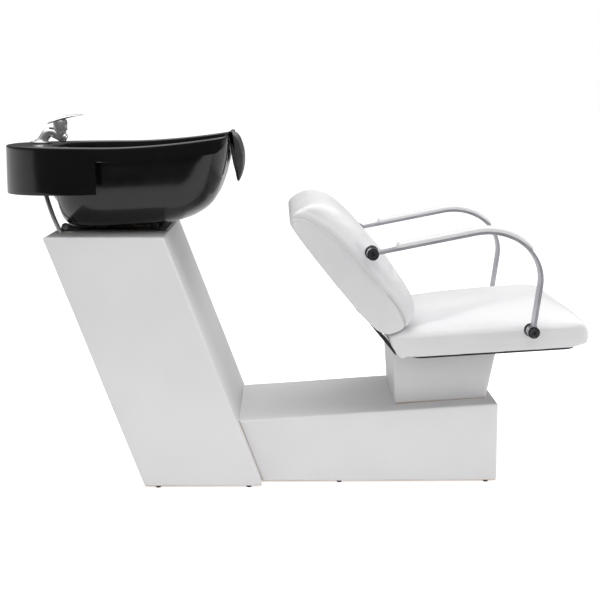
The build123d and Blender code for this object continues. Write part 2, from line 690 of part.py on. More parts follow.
# the flange round the rim, with the skirt behind it
with BuildPart() as flange:
    add(basin_plan(0))
    extrude(amount=250, dir=(0, 0, 1))
    add(basin_plan(BASIN_WALL))
    extrude(amount=250, dir=(0, 0, 1), mode=Mode.SUBTRACT)
    add(below_rim(0, 500))
    extrude(amount=BASIN_SPAN, dir=(0, -1, 0), mode=Mode.INTERSECT)
    add(above_flange())
    extrude(amount=BASIN_SPAN, dir=(0, -1, 0), mode=Mode.INTERSECT)

# the rolled lip of the neck notch
with BuildPart() as saddle:
    with BuildSketch(Plane.YZ.offset(-160)):
        with Locations((0, HORN_TOP + 4)):
            Ellipse(NOTCH[0] + BASIN_WALL, NOTCH[1] + BASIN_WALL)
            Ellipse(*NOTCH, mode=Mode.SUBTRACT)
    extrude(amount=160 + BASIN_FRONT_X)
    add(below_rim(0, 500))
    extrude(amount=BASIN_SPAN, dir=(0, -1, 0), mode=Mode.INTERSECT)

with BuildPart() as bowl_hollow:
    loft(sections=bowl_plans(BASIN_WALL))

with BuildPart() as basin:
    loft(sections=bowl_plans(0))
    add(below_rim(0, 400))
    extrude(amount=BASIN_SPAN, dir=(0, -1, 0), mode=Mode.INTERSECT)
    add(rim_plate.part)
    add(flange.part)
    add(bowl_hollow.part, mode=Mode.SUBTRACT)
    with BuildSketch(Plane.YZ.offset(-215)):
        with Locations((0, HORN_TOP + 4)):
            Ellipse(*NOTCH)
    extrude(amount=120, mode=Mode.SUBTRACT)
    add(saddle.part)
    with Locations((DRAIN_X, 0, 560)):
        Cylinder(26, 60, mode=Mode.SUBTRACT)
    with Locations((TAP_X, 0, DECK_TOP)):
        Cylinder(17, 40, mode=Mode.SUBTRACT)
save(basin, "basin")

# ---- neck rest ------------------------------------------------------------------------
REST_HALF = 90.0
with BuildPart() as neck_rest:
    # the flap that hangs outside the basin
    with BuildSketch(Plane.XZ.offset(-REST_HALF)):
        with BuildLine():
            Polyline((-137.2, 690), (-137.2, HORN_TOP + 4), (-124, HORN_TOP - 2), (-113, 742),
                     (-111, 700))
            Spline((-111, 700), (-115, 676), (-125, 665), (-131, 674), (-137.2, 690),
                   tangents=[(0, -1), (-0.1, 1)])
        make_face()
    extrude(amount=2 * REST_HALF)
    with BuildSketch(Plane.YZ.offset(-180)):
        with Locations((0, HORN_TOP + 4)):
            Ellipse(NOTCH[0] - 14, NOTCH[1] - 14)
    extrude(amount=90, mode=Mode.SUBTRACT)
    # the liner that lies in the notch
    with BuildSketch(Plane.YZ.offset(-166)):
        with Locations((0, HORN_TOP + 4)):
            Ellipse(NOTCH[0] - 0.3, NOTCH[1] - 0.3)
            Ellipse(NOTCH[0] - 14, NOTCH[1] - 14, mode=Mode.SUBTRACT)
        with Locations((0, HORN_TOP + 30)):
            Rectangle(300, 60, mode=Mode.SUBTRACT)
    extrude(amount=166 - 137)
save(neck_rest, "neck_rest")

# ---- tilting mount --------------------------------------------------------------------
PLATE_TOP = COLUMN_TOP + BASE_PLATE
EAR_R = 9.0
TILT_PLATE = 4.0


def bowl_under(x):
    """Height of the bowl's underside."""
    return BOWL_FLOOR[1] + (x - BOWL_FLOOR[0]) * floor_slope


with BuildPart() as base_bracket:
    with BuildSketch(Plane.XY.offset(COLUMN_TOP)):
        with Locations(((PLATE_X[0] + PLATE_X[1]) / 2, 0)):
            RectangleRounded(PLATE_X[1] - PLATE_X[0], 2 * (EAR_Y + EAR), 12)
        with Locations((DRAIN_X, 0)):
            RectangleRounded(110, 100, 20, mode=Mode.SUBTRACT)
    extrude(amount=BASE_PLATE)
    with BuildSketch(Plane.XZ.offset(-EAR_Y)):
        Polygon((HINGE_X - EAR_R, COLUMN_TOP + 0.5), (HINGE_X + 26, COLUMN_TOP + 0.5),
                (HINGE_X + EAR_R, HINGE_Z), (HINGE_X - EAR_R, HINGE_Z), align=None)
        with Locations((HINGE_X, HINGE_Z)):
            Circle(EAR_R)
            Circle(HINGE_PIN_R, mode=Mode.SUBTRACT)
    extrude(amount=-EAR)
    mirror(about=Plane.XZ)
save(base_bracket, "base_bracket")

MOUNT_SCREWS = (180.0, 150.0)
with BuildPart() as base_screws:
    with BuildSketch(Plane.XY.offset(PLATE_TOP)):
        with Locations((-390, 0)):
            with GridLocations(*MOUNT_SCREWS, 2, 2):
                Circle(5)
    extrude(amount=1.6)
save(base_screws, "base_screws")

TILT_EAR_Y = EAR_Y - 1.0     # outer face of each turning ear
with BuildPart() as tilt_bracket:
    with BuildSketch(BOWL_PLANE):
        with Locations((51, 0)):
            RectangleRounded(170, 2 * TILT_EAR_Y, 10)
        with Locations((DRAIN_X - BOWL_FLOOR[0], 0)):
            Circle(45, mode=Mode.SUBTRACT)
    extrude(amount=-TILT_PLATE)
    with BuildSketch(Plane.XZ.offset(-TILT_EAR_Y)):
        Polygon((HINGE_X, HINGE_Z - 5.5), (-470, bowl_under(-470) - TILT_PLATE),
                (-455, bowl_under(-455) - TILT_PLATE), (-455, bowl_under(-455) - 0.2),
                (-486, bowl_under(-486) - 0.2), (HINGE_X, HINGE_Z + 5.5), align=None)
        with Locations((HINGE_X, HINGE_Z)):
            Circle(EAR_R - 2.0)
            Circle(HINGE_PIN_R + RUNNING, mode=Mode.SUBTRACT)
    extrude(amount=EAR)
    mirror(about=Plane.XZ)
save(tilt_bracket, "tilt_bracket")

with BuildPart() as hinge_pins:
    with BuildSketch(Plane.XZ.offset(-EAR_Y - EAR)):
        with Locations((HINGE_X, HINGE_Z)):
            Circle(HINGE_PIN_R)
    extrude(amount=EAR + EAR + 2.5)
    with BuildSketch(Plane.XZ.offset(-EAR_Y - EAR)):
        with Locations((HINGE_X, HINGE_Z)):
            Circle(6.5)
    extrude(amount=-2.5)
    mirror(about=Plane.XZ)
save(hinge_pins, "hinge_pins")

STOP_X = -292.0
stop_top = bowl_under(STOP_X) - TILT_PLATE
with BuildPart() as stop_buffers:
    with Locations((STOP_X - 18, 62, PLATE_TOP), (STOP_X - 18, -62, PLATE_TOP)):
        Cylinder(9, stop_top - PLATE_TOP - 1.9, align=(Align.CENTER, Align.CENTER, Align.MIN))
save(stop_buffers, "stop_buffers")

# ---- waste ----------------------------------------------------------------------------
DRAIN_ALONG = (DRAIN_X - BOWL_FLOOR[0]) / math.cos(math.radians(BOWL_FLOOR_ANGLE))
WASTE_SIDE = Plane(
    origin=BOWL_PLANE.from_local_coords(Vector(DRAIN_ALONG, 0, 0)), x_dir=BOWL_PLANE.x_dir,
    z_dir=(0, -1, 0),
)
WASTE_AXIS = Axis(WASTE_SIDE.origin, WASTE_SIDE.y_dir)
WASTE_TAIL_R = 20.0
WASTE_THREAD_R = 25.5
WASTE_RIM = BASIN_WALL + 1.5  # top of the waste's flange above the bowl's underside
TAIL_END = -95.0

with BuildPart() as waste:
    with BuildSketch(WASTE_SIDE):
        Polygon(
            (17, TAIL_END), (WASTE_TAIL_R, TAIL_END), (WASTE_TAIL_R, -16), (WASTE_THREAD_R, -14),
            (WASTE_THREAD_R, BASIN_WALL), (38, BASIN_WALL), (38, WASTE_RIM), (21, WASTE_RIM),
            (21, -8), (17, -12), align=None,
        )
    revolve(axis=WASTE_AXIS)
save(waste, "waste")

with BuildPart() as waste_seal:
    with BuildSketch(WASTE_SIDE):
        Polygon((26, -3), (37, -3), (37, 0), (26, 0), align=None)
    revolve(axis=WASTE_AXIS)
save(waste_seal, "waste_seal")

with BuildPart() as waste_nut:
    with BuildSketch(Plane(WASTE_SIDE.origin, x_dir=(0, 1, 0), z_dir=WASTE_SIDE.y_dir).offset(-3)):
        RegularPolygon(37, 8)
        Circle(WASTE_THREAD_R + 0.1, mode=Mode.SUBTRACT)
    extrude(amount=-9)
save(waste_nut, "waste_nut")

with BuildPart() as hair_strainer:
    with BuildSketch(WASTE_SIDE):
        Polygon(
            (0, WASTE_RIM + 0.2), (19, WASTE_RIM + 0.2), (19, 0), (20.5, 0), (20.5, WASTE_RIM + 0.1),
            (29, WASTE_RIM + 0.1), (28, WASTE_RIM + 1.6), (5, WASTE_RIM + 3.4), (5, WASTE_RIM + 9),
            (3, WASTE_RIM + 11), (0, WASTE_RIM + 11), align=None,
        )
    revolve(axis=WASTE_AXIS)
    with BuildSketch(Plane(WASTE_SIDE.origin, x_dir=(0, 1, 0), z_dir=WASTE_SIDE.y_dir).offset(20)):
        with PolarLocations(14.5, 8):
            Circle(2.6)
        with PolarLocations(8.6, 4, start_angle=22.5):
            Circle(1.8)
    extrude(amount=-18, mode=Mode.SUBTRACT)
save(hair_strainer, "hair_strainer")

# ---- tap ------------------------------------------------------------------------------
TAP_SEAT = DECK_TOP + 1.5    # the tap stands on a gasket
SHANK_R = 16.0
SHANK_END = 722.0
LEVER_Z = 789.0
CARTRIDGE_R = 9.0
CARTRIDGE_FOOT = 764.0
LEVER_PIN_R = 1.5
SHROUD_R = 16.0
SPOUT_END = (-516.5, 0.0, 762.0)

with BuildPart() as tap_gasket:
    with BuildSketch(Plane.XY.offset(DECK_TOP)):
        with Locations((TAP_X, 0)):
            Circle(25)
            Circle(17, mode=Mode.SUBTRACT)
    extrude(amount=TAP_SEAT - DECK_TOP)
save(tap_gasket, "tap_gasket")

with BuildPart() as tap_body:
    with Locations((TAP_X, 0, SHANK_END)):
        Cylinder(SHANK_R, TAP_SEAT + 4 - SHANK_END, align=(Align.CENTER, Align.CENTER, Align.MIN))
    with Locations((TAP_X, 0, TAP_SEAT)):
        Cylinder(24, 4, align=(Align.CENTER, Align.CENTER, Align.MIN))
    with BuildLine():
        neck_line = FilletPolyline((TAP_X + 1, 0, TAP_SEAT + 1), (-555, 0, 780), SPOUT_END, radius=13)
    with BuildSketch(Plane(origin=neck_line @ 0, z_dir=neck_line % 0)):
        Circle(11.5)
    sweep(path=neck_line)
    with Locations((LEVER_X, 0, 769)):
        Cylinder(13, 14, align=(Align.CENTER, Align.CENTER, Align.MIN))
    with Locations((LEVER_X, 0, 783)):
        Cylinder(18, 20, align=(Align.CENTER, Align.CENTER, Align.MIN), mode=Mode.SUBTRACT)
    with Locations((LEVER_X, 0, CARTRIDGE_FOOT)):
        Cylinder(CARTRIDGE_R + RUNNING, 40, align=(Align.CENTER, Align.CENTER, Align.MIN),
                 mode=Mode.SUBTRACT)
save(tap_body, "tap_body")

with BuildPart() as tap_aerator:
    with BuildSketch(Plane(origin=SPOUT_END, x_dir=(0, 1, 0), z_dir=neck_line % 1)):
        Circle(9)
        Circle(6.5, mode=Mode.SUBTRACT)
    extrude(amount=2)
save(tap_aerator, "tap_aerator")

with BuildPart() as tap_nut:
    with BuildSketch(Plane.XY.offset(DECK_TOP - BASIN_WALL)):
        with Locations((TAP_X, 0)):
            RegularPolygon(23, 6)
            Circle(SHANK_R + 0.1, mode=Mode.SUBTRACT)
    extrude(amount=-9)
save(tap_nut, "tap_nut")

with BuildPart() as tap_cartridge:
    with Locations((LEVER_X, 0, CARTRIDGE_FOOT + 0.05)):
        Cylinder(CARTRIDGE_R, LEVER_Z - CARTRIDGE_FOOT - 0.05,
                 align=(Align.CENTER, Align.CENTER, Align.MIN))
    with Locations((LEVER_X, 0, LEVER_Z)):
        Sphere(CARTRIDGE_R)
        Cylinder(LEVER_PIN_R + RUNNING, 40, rotation=(90, 0, 0), mode=Mode.SUBTRACT)
save(tap_cartridge, "tap_cartridge")

with BuildPart() as tap_lever:
    with Locations((LEVER_X, 0, 803)):
        Cylinder(SHROUD_R, 20, align=(Align.CENTER, Align.CENTER, Align.MAX))
    with BuildSketch(Plane.XZ):
        Polygon((-560, 792.5), (-500, 779), (-500, 770), (-560, 770), align=None)
        Polygon((-560, 800), (-540, 807), (-500, 816), (-500, 830), (-560, 830), align=None)
    extrude(amount=20, both=True, mode=Mode.SUBTRACT)
    with BuildSketch(Plane.XZ.offset(-17)):
        with BuildLine():
            Spline((-557, 796), (-540, 806), (-515, 814), (-477, 817.5), tangents=[(0.6, 0.8), (1, 0)])
            Line((-477, 817.5), (-477, 814.5))
            Spline((-477, 814.5), (-515, 808), (-540, 799), (-553, 793.5),
                   tangents=[(-1, -0.05), (-0.9, -0.4)])
            Line((-553, 793.5), (-557, 796))
        make_face()
    extrude(amount=34)
    with Locations((LEVER_X, 0, LEVER_Z)):
        Sphere(CARTRIDGE_R + 0.6, mode=Mode.SUBTRACT)
        Cylinder(11.5, 20, align=(Align.CENTER, Align.CENTER, Align.MAX), mode=Mode.SUBTRACT)
        Cylinder(LEVER_PIN_R, 60, rotation=(90, 0, 0), mode=Mode.SUBTRACT)
save(tap_lever, "tap_lever")

with BuildPart() as lever_pin:
    with Locations((LEVER_X, 0, LEVER_Z)):
        Cylinder(LEVER_PIN_R, 2 * SHROUD_R - 3, rotation=(90, 0, 0))
save(lever_pin, "lever_pin")

# ---- supply hoses ---------------------------------------------------------------------
NUT_LENGTH = 20.0
NUT_THREAD_R = 8.3


def turn_radii(points):
    """The largest arc that the two runs beside each corner allow."""
    radii = []
    for before, here, after in zip(points, points[1:], points[2:]):
        first, second = Vector(here) - Vector(before), Vector(after) - Vector(here)
        half_turn = math.radians(first.get_angle(second)) / 2
        radii.append(0.45 * min(first.length, second.length) / math.tan(half_turn))
    return radii


for name, side in (("left", 1), ("right", -1)):
    route = [(x, side * y, z) for x, y, z in HOSE_PATH]
    radii = turn_radii(route)
    with BuildPart() as supply_hose:
        with BuildLine():
            middle_line = FilletPolyline(*route, radius=radii)
        with BuildSketch(Plane(origin=route[0], z_dir=Vector(route[1]) - Vector(route[0]))):
            Circle(HOSE_R)
        sweep(path=middle_line)
    save(supply_hose, f"supply_hose_{name}")
    length = middle_line.length
    print("hose", name, "length", round(length, 1), "radii", [round(r) for r in radii])
    print("  volume over section times length", supply_hose.part.volume / (math.pi * HOSE_R**2 * length))

with BuildPart() as hose_nuts:
    for side in (1, -1):
        end = (HOSE_PATH[-1][0], side * HOSE_PATH[-1][1])
        with BuildSketch(Plane.XY.offset(HOSE_PATH[-1][2])):
            with Locations(end):
                RegularPolygon(11, 6)
        extrude(amount=-NUT_LENGTH)
        with BuildSketch(Plane.XY.offset(HOSE_PATH[-1][2] - NUT_LENGTH)):
            with Locations(end):
                Circle(NUT_THREAD_R)
        extrude(amount=NUT_LENGTH - 7, mode=Mode.SUBTRACT)
save(hose_nuts, "hose_nuts")

whole = Compound(children=pieces).bounding_box()
print("whole", whole.min, whole.max, "nodes", len(pieces))
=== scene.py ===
import json
from contextlib import contextmanager
from math import atan2, copysign, cos, pi, radians, sin, sqrt, tan

import bmesh
import bpy
import numpy as np
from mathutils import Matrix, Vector, noise
from mathutils.bvhtree import BVHTree


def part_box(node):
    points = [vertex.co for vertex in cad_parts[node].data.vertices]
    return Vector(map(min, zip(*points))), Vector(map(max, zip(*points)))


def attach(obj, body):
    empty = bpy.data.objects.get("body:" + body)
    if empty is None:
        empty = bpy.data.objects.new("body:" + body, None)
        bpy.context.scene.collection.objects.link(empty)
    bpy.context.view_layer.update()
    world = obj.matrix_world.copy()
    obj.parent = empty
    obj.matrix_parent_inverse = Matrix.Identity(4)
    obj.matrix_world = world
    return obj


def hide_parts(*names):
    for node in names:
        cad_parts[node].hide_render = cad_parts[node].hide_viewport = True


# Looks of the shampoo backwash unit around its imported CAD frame. Positions are written in
# millimetres in the row frame and become metres in add_piece().
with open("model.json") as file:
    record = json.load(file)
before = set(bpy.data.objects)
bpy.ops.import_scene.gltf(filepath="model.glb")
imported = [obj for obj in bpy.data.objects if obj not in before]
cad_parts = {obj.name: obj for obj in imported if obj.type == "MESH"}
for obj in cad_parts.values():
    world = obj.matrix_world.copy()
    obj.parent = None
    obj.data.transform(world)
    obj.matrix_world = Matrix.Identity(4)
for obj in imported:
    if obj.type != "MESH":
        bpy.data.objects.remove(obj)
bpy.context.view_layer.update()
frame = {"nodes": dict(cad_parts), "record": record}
nodes = frame["nodes"]
MM = 0.001
SIDES = (("left", 1), ("right", -1))
scene = bpy.context.scene


def linked(name, data):
    """A new object in the scene."""
    made = bpy.data.objects.new(name, data)
    scene.collection.objects.link(made)
    return made


# ---- camera ---------------------------------------------------------------------------
camera_data = bpy.data.cameras.new("camera")
camera_data.lens = 77.48
camera_data.sensor_width = 36.0
camera = linked("camera", camera_data)
camera.location = (-0.0265, -2.9855, 0.8534)
camera.rotation_euler = (radians(90 - 8.89), 0, radians(-0.887))
scene.camera = camera
scene.view_settings.view_transform = "Standard"


# ---- materials ------------------------------------------------------------------------
def add_node(tree, kind, inputs):
    """A shader node with inputs set to values or linked to other nodes' outputs."""
    node = tree.nodes.new(kind)
    for name, value in inputs.items():
        if isinstance(value, bpy.types.NodeSocket):
            tree.links.new(value, node.inputs[name])
        else:
            node.inputs[name].default_value = value
    return node


def bump_layer(tree, coords, normal, kind, scale, depth, stretch=(1, 1, 1)):
    """Adds one bump layer of a depth in metres and returns its normal output."""
    mapping = add_node(tree, "ShaderNodeMapping", {"Vector": coords, "Scale": stretch})
    placed = {"Vector": mapping.outputs["Vector"], "Scale": scale}
    if kind == "noise":
        height = add_node(tree, "ShaderNodeTexNoise", {**placed, "Detail": 4}).outputs["Fac"]
    else:
        texture = add_node(tree, "ShaderNodeTexVoronoi", placed)
        texture.feature = "SMOOTH_F1" if kind == "pebble" else "DISTANCE_TO_EDGE"
        height = texture.outputs["Distance"]
    bump = add_node(tree, "ShaderNodeBump", {"Strength": 1.0, "Distance": depth, "Height": height})
    if normal is not None:
        tree.links.new(normal, bump.inputs["Normal"])
    return bump.outputs["Normal"]


def surface(name, low, high, patch, roughness, metallic=0.0, layers=(), stretch=(1, 1, 1), specular=0.5):
    """A procedural finish: colour between low and high in patches, roughness between two values."""
    made = bpy.data.materials.new(name)
    made.use_nodes = True
    tree = made.node_tree
    shader = tree.nodes["Principled BSDF"]
    shader.inputs["Metallic"].default_value = metallic
    shader.inputs["Specular IOR Level"].default_value = specular
    coords = tree.nodes.new("ShaderNodeTexCoord").outputs["Object"]
    mapping = add_node(tree, "ShaderNodeMapping", {"Vector": coords, "Scale": stretch})
    cloud = add_node(tree, "ShaderNodeTexNoise",
                     {"Vector": mapping.outputs["Vector"], "Scale": patch, "Detail": 5}).outputs["Fac"]
    ramp = add_node(tree, "ShaderNodeValToRGB", {"Fac": cloud})
    for stop, place, colour in zip(ramp.color_ramp.elements, (0.35, 0.65), (low, high)):
        stop.position = place
        stop.color = (*colour, 1)
    tree.links.new(ramp.outputs["Color"], shader.inputs["Base Color"])
    spread = add_node(tree, "ShaderNodeMapRange", {"Value": cloud, "From Min": 0.3, "From Max": 0.7,
                                                   "To Min": roughness[0], "To Max": roughness[1]})
    tree.links.new(spread.outputs["Result"], shader.inputs["Roughness"])
    normal = None
    for layer in layers:
        normal = bump_layer(tree, coords, normal, *layer)
    if normal is not None:
        tree.links.new(normal, shader.inputs["Normal"])
    return made


LEATHERETTE = surface("leatherette", (0.74, 0.732, 0.742), (0.77, 0.764, 0.772), 5, (0.42, 0.5),
                      layers=[("noise", 9, 0.0009), ("pebble", 700, 0.00012), ("crease", 480, 0.00006)])
VINYL = surface("soft_vinyl", (0.70, 0.70, 0.71), (0.73, 0.73, 0.735), 7, (0.36, 0.44),
                layers=[("noise", 22, 0.0011), ("pebble", 800, 0.0001), ("crease", 560, 0.00005)])
PIPING = surface("piping_vinyl", (0.69, 0.69, 0.70), (0.73, 0.73, 0.735), 30, (0.38, 0.46),
                 layers=[("pebble", 900, 0.00008)])
GLOSS = surface("gloss_black", (0.0035, 0.0035, 0.004), (0.0045, 0.0045, 0.005), 14, (0.13, 0.2),
                layers=[("noise", 60, 0.00008), ("noise", 900, 0.000006)], specular=0.5)
RUBBER_SOFT = surface("neck_rubber", (0.034, 0.034, 0.036), (0.05, 0.05, 0.053), 25, (0.4, 0.52),
                      layers=[("noise", 60, 0.0004), ("pebble", 1100, 0.00005)])
RUBBER = surface("rubber", (0.02, 0.02, 0.02), (0.035, 0.035, 0.035), 60, (0.6, 0.75),
                 layers=[("noise", 500, 0.00008)])
ARM_SILVER = surface("arm_silver", (0.42, 0.41, 0.45), (0.50, 0.49, 0.53), 40, (0.32, 0.42), metallic=0.45,
                     layers=[("noise", 1500, 0.000012)])
ARM_SOFT = surface("arm_pad_white", (0.70, 0.70, 0.71), (0.74, 0.74, 0.745), 18, (0.42, 0.52),
                   layers=[("noise", 60, 0.0003), ("pebble", 1300, 0.00005)])
CHROME = surface("chrome", (0.56, 0.56, 0.57), (0.62, 0.62, 0.63), 45, (0.09, 0.15), metallic=0.72,
                 layers=[("noise", 120, 0.00003)])
STEEL = surface("polished_steel", (0.26, 0.26, 0.275), (0.36, 0.36, 0.375), 60, (0.16, 0.28), metallic=1.0,
                layers=[("noise", 900, 0.00001)])
DARK_BOLT = surface("dark_bolt", (0.075, 0.075, 0.08), (0.13, 0.13, 0.135), 90, (0.28, 0.42), metallic=0.9,
                    layers=[("noise", 700, 0.00004)])
ZINC = surface("zinc", (0.055, 0.055, 0.06), (0.10, 0.10, 0.105), 120, (0.32, 0.48), metallic=0.8,
               layers=[("crease", 160, 0.00006)])
POWDER = surface("black_powder", (0.010, 0.010, 0.011), (0.018, 0.018, 0.019), 40, (0.42, 0.55),
                 layers=[("noise", 1400, 0.00006)])
BOARD = surface("black_board", (0.008, 0.008, 0.009), (0.016, 0.016, 0.017), 25, (0.55, 0.7),
                layers=[("noise", 300, 0.0001)])
PLY = surface("plywood", (0.36, 0.23, 0.12), (0.55, 0.39, 0.23), 22, (0.55, 0.75), stretch=(0.15, 2.2, 0.3),
              layers=[("noise", 240, 0.00012, (0.1, 1.6, 0.3))])
NYLON = surface("nylon", (0.02, 0.02, 0.022), (0.035, 0.035, 0.037), 50, (0.38, 0.5),
                layers=[("noise", 400, 0.00005)])
BRASS = surface("brass", (0.48, 0.34, 0.13), (0.60, 0.45, 0.20), 70, (0.22, 0.36), metallic=1.0,
                layers=[("noise", 800, 0.00002)])
NICKEL = surface("nickel", (0.46, 0.45, 0.42), (0.56, 0.55, 0.52), 80, (0.2, 0.32), metallic=1.0,
                 layers=[("noise", 900, 0.00002)])
BRAID = surface("steel_braid", (0.46, 0.46, 0.465), (0.72, 0.72, 0.73), 900, (0.3, 0.45), metallic=0.5,
                layers=[("crease", 520, 0.0005, (1, 1, 0.55))])

FINISHES = {
    "plywood": PLY, "carcass_leatherette": LEATHERETTE, "upholstery": VINYL, "arm_steel": ARM_SILVER,
    "arm_pad": ARM_SOFT, "polished_steel": STEEL, "bolt_steel": DARK_BOLT, "black_steel": POWDER,
    "bracket_grey": ZINC, "pan_board": BOARD, "basin_plastic": GLOSS, "neck_rubber": RUBBER_SOFT,
    "rubber": RUBBER, "nylon": NYLON, "tap_chrome": CHROME, "brass": BRASS, "hose_braid": BRAID,
    "hose_fitting": NICKEL,
}
for part in frame["record"]["subparts"]:
    mesh = nodes[part["node"]].data
    mesh.materials.clear()
    mesh.materials.append(FINISHES[part["material_slot"]])


# ---- mesh helpers ---------------------------------------------------------------------
@contextmanager
def mesh_edit(mesh):
    """A bmesh of a mesh, written back at the end."""
    work = bmesh.new()
    work.from_mesh(mesh)
    yield work
    work.to_mesh(mesh)
    work.free()


def new_mesh(name, points, faces):
    """A mesh from points in millimetres."""
    mesh = bpy.data.meshes.new(name)
    mesh.from_pydata([tuple(MM * c for c in p) for p in points], [], faces)
    return mesh


def full_turn(count):
    """Even angles round a circle."""
    return np.linspace(0, 2 * pi, count, endpoint=False)


def half_width(node):
    """How far a CAD node reaches from the middle, in millimetres."""
    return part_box(node)[1].y / MM


def add_piece(name, points, faces, finish, body, slot, stands_for=()):
    """A mesh piece from points in millimetres, riding on a CAD body."""
    mesh = new_mesh(name, points, faces)
    mesh.validate()
    with mesh_edit(mesh) as work:
        bmesh.ops.remove_doubles(work, verts=work.verts, dist=1e-6)
        bmesh.ops.recalc_face_normals(work, faces=work.faces)
        for face in work.faces:
            face.smooth = True
    mesh.materials.append(finish)
    piece = linked(name, mesh)
    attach(piece, body)
    if stands_for:
        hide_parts(*stands_for)
    return piece


def ring_faces(rows, columns):
    """Quads between consecutive rings of the same number of points."""
    faces = []
    for row in range(0, (rows - 1) * columns, columns):
        for k in range(columns):
            n = (k + 1) % columns
            faces.append([row + k, row + n, row + columns + n, row + columns + k])
    return faces


def fan(ring, centre, flip=False):
    """Triangles from a ring of point numbers to a centre."""
    count = len(ring)
    faces = [[ring[k], ring[(k + 1) % count], centre] for k in range(count)]
    return [f[::-1] for f in faces] if flip else faces


def close_end(points, faces, base, columns, rings, apex):
    """Closes the end ring that starts at base: smaller rings inside it, then a fan to apex."""
    ring = list(range(base, base + columns))
    for inner in rings:
        new = list(range(len(points), len(points) + columns))
        points += inner
        for k in range(columns):
            n = (k + 1) % columns
            faces.append([ring[k], ring[n], new[n], new[k]])
        ring = new
    points.append(apex)
    faces += fan(ring, len(points) - 1)


def joined(*parts):
    """Several sets of points and faces as one."""
    points, faces = [], []
    for some_points, some_faces in parts:
        base = len(points)
        points += list(some_points)
        faces += [[i + base for i in face] for face in some_faces]
    return points, faces


def lofted(rings):
    """Points and faces of a closed skin through rings, with a fan at each end."""
    points = [tuple(p) for ring in rings for p in ring]
    columns = len(rings[0])
    faces = ring_faces(len(rings), columns)
    first, last = list(range(columns)), list(range((len(rings) - 1) * columns, len(points)))
    for ring, group in ((rings[0], first), (rings[-1], last)):
        points.append(tuple(np.mean(np.array(ring), axis=0)))
        faces += fan(group, len(points) - 1, flip=group is first)
    return points, faces


def tube_rings(path, radii, segments=32):
    """Circles of the given radii square to a path in the X-Z plane."""
    path = np.array(path, float)
    rings = []
    for i, (point, radius) in enumerate(zip(path, radii)):
        along = path[min(i + 1, len(path) - 1)] - path[max(i - 1, 0)]
        along = along / np.linalg.norm(along)
        across = np.array([0.0, 1.0, 0.0])
        up = np.cross(along, across)
        turn = full_turn(segments)
        rings.append([point + radius * (cos(a) * across + sin(a) * up) for a in turn])
    return rings


def smooth_step(value, low, high):
    """0 below low, 1 above high, and an even ease between them."""
    t = np.clip((np.asarray(value, float) - low) / (high - low), 0, 1)
    return t * t * (3 - 2 * t)


def spline_through(points, count):
    """Even samples, by parameter, of a Catmull-Rom curve through the points."""
    p = np.array(points, float)
    p = np.vstack([2 * p[0] - p[1], p, 2 * p[-1] - p[-2]])
    out = []
    for s in np.linspace(0, len(points) - 1, count):
        i = min(int(s), len(points) - 2)
        t = s - i
        a, b, c, d = p[i], p[i + 1], p[i + 2], p[i + 3]
        out.append(0.5 * (2 * b + (c - a) * t + (2 * a - 5 * b + 4 * c - d) * t**2
                          + (3 * b - a - 3 * c + d) * t**3))
    return np.array(out)


def applied(piece):
    """Replaces a piece's mesh by its modified one and clears its modifiers."""
    graph = bpy.context.evaluated_depsgraph_get()
    mesh = bpy.data.meshes.new_from_object(piece.evaluated_get(graph))
    piece.modifiers.clear()
    piece.data = mesh
    for polygon in mesh.polygons:
        polygon.use_smooth = True
    return piece


def bevelled(piece, width, degrees):
    """Adds a narrow bevel on edges sharper than an angle."""
    bevel = piece.modifiers.new("edges", "BEVEL")
    bevel.width = width * MM
    bevel.segments = 2
    bevel.limit_method = "ANGLE"
    bevel.angle_limit = radians(degrees)
    return bevel


def along_outline(outline):
    """The unit direction at each point of a closed outline."""
    along = np.roll(outline, -1, axis=0) - np.roll(outline, 1, axis=0)
    return along / (np.linalg.norm(along, axis=1)[:, None] + 1e-9)


def signed_power(value, power):
    """A power that keeps the sign, for rings between an ellipse and a rectangle."""
    return copysign(abs(value) ** power, value)


def coordinates(mesh):
    """A mesh's points in metres, one row each."""
    flat = np.zeros(len(mesh.vertices) * 3)
    mesh.vertices.foreach_get("co", flat)
    return flat.reshape(-1, 3)


def set_coordinates(mesh, points):
    """Moves a mesh's points to places in millimetres."""
    mesh.vertices.foreach_set("co", (points * MM).ravel())
    mesh.update()


# ---- supply hoses ---------------------------------------------------------------------
HOSE_DIAMETER = 10.0
HOSE_ROUTE = [
    (-574, 8, 722), (-574, 8, 697), (-570.5, 17, 671), (-561, 38, 645),
    (-549, 64, 619), (-535.5, 87, 591), (-520, 104, 563), (-502.5, 111, 530),
    (-483.5, 112, 496), (-463, 110, 463), (-438, 107, 432), (-413, 103, 401),
    (-389, 99, 369), (-371, 96, 337), (-366, 95, 309), (-366, 95, 285),
]
for name, side in SIDES:
    curve = bpy.data.curves.new(f"hose_{name}", "CURVE")
    curve.dimensions = "3D"
    curve.resolution_u = 10
    curve.bevel_depth = HOSE_DIAMETER / 2 * MM
    curve.bevel_resolution = 5
    curve.use_fill_caps = True
    spline = curve.splines.new("NURBS")
    spline.points.add(len(HOSE_ROUTE) - 1)
    for point, (x, y, z) in zip(spline.points, HOSE_ROUTE):
        point.co = (x * MM, side * y * MM, z * MM, 1)
    spline.order_u = 3
    spline.use_endpoint_u = True
    curve.materials.append(BRAID)
    hose = linked(f"hose_{name}", curve)
    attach(hose, "basin")
    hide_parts(f"supply_hose_{name}")
    for label, top, bottom, x, y in (("upper", 723, 704, -574, 8), ("lower", 303, 285, -366, 95)):
        heights = [bottom, bottom + 1, bottom + 4, bottom + 5, bottom + 9, bottom + 10, top - 2, top]
        widths = [6.2, 7, 7, 6.3, 6.3, 7, 7, 5.6]
        rings = tube_rings([(x, side * y, z) for z in heights], widths, 28)
        add_piece(f"ferrule_{label}_{name}", *lofted(rings), NICKEL, "basin", "hose_fitting")


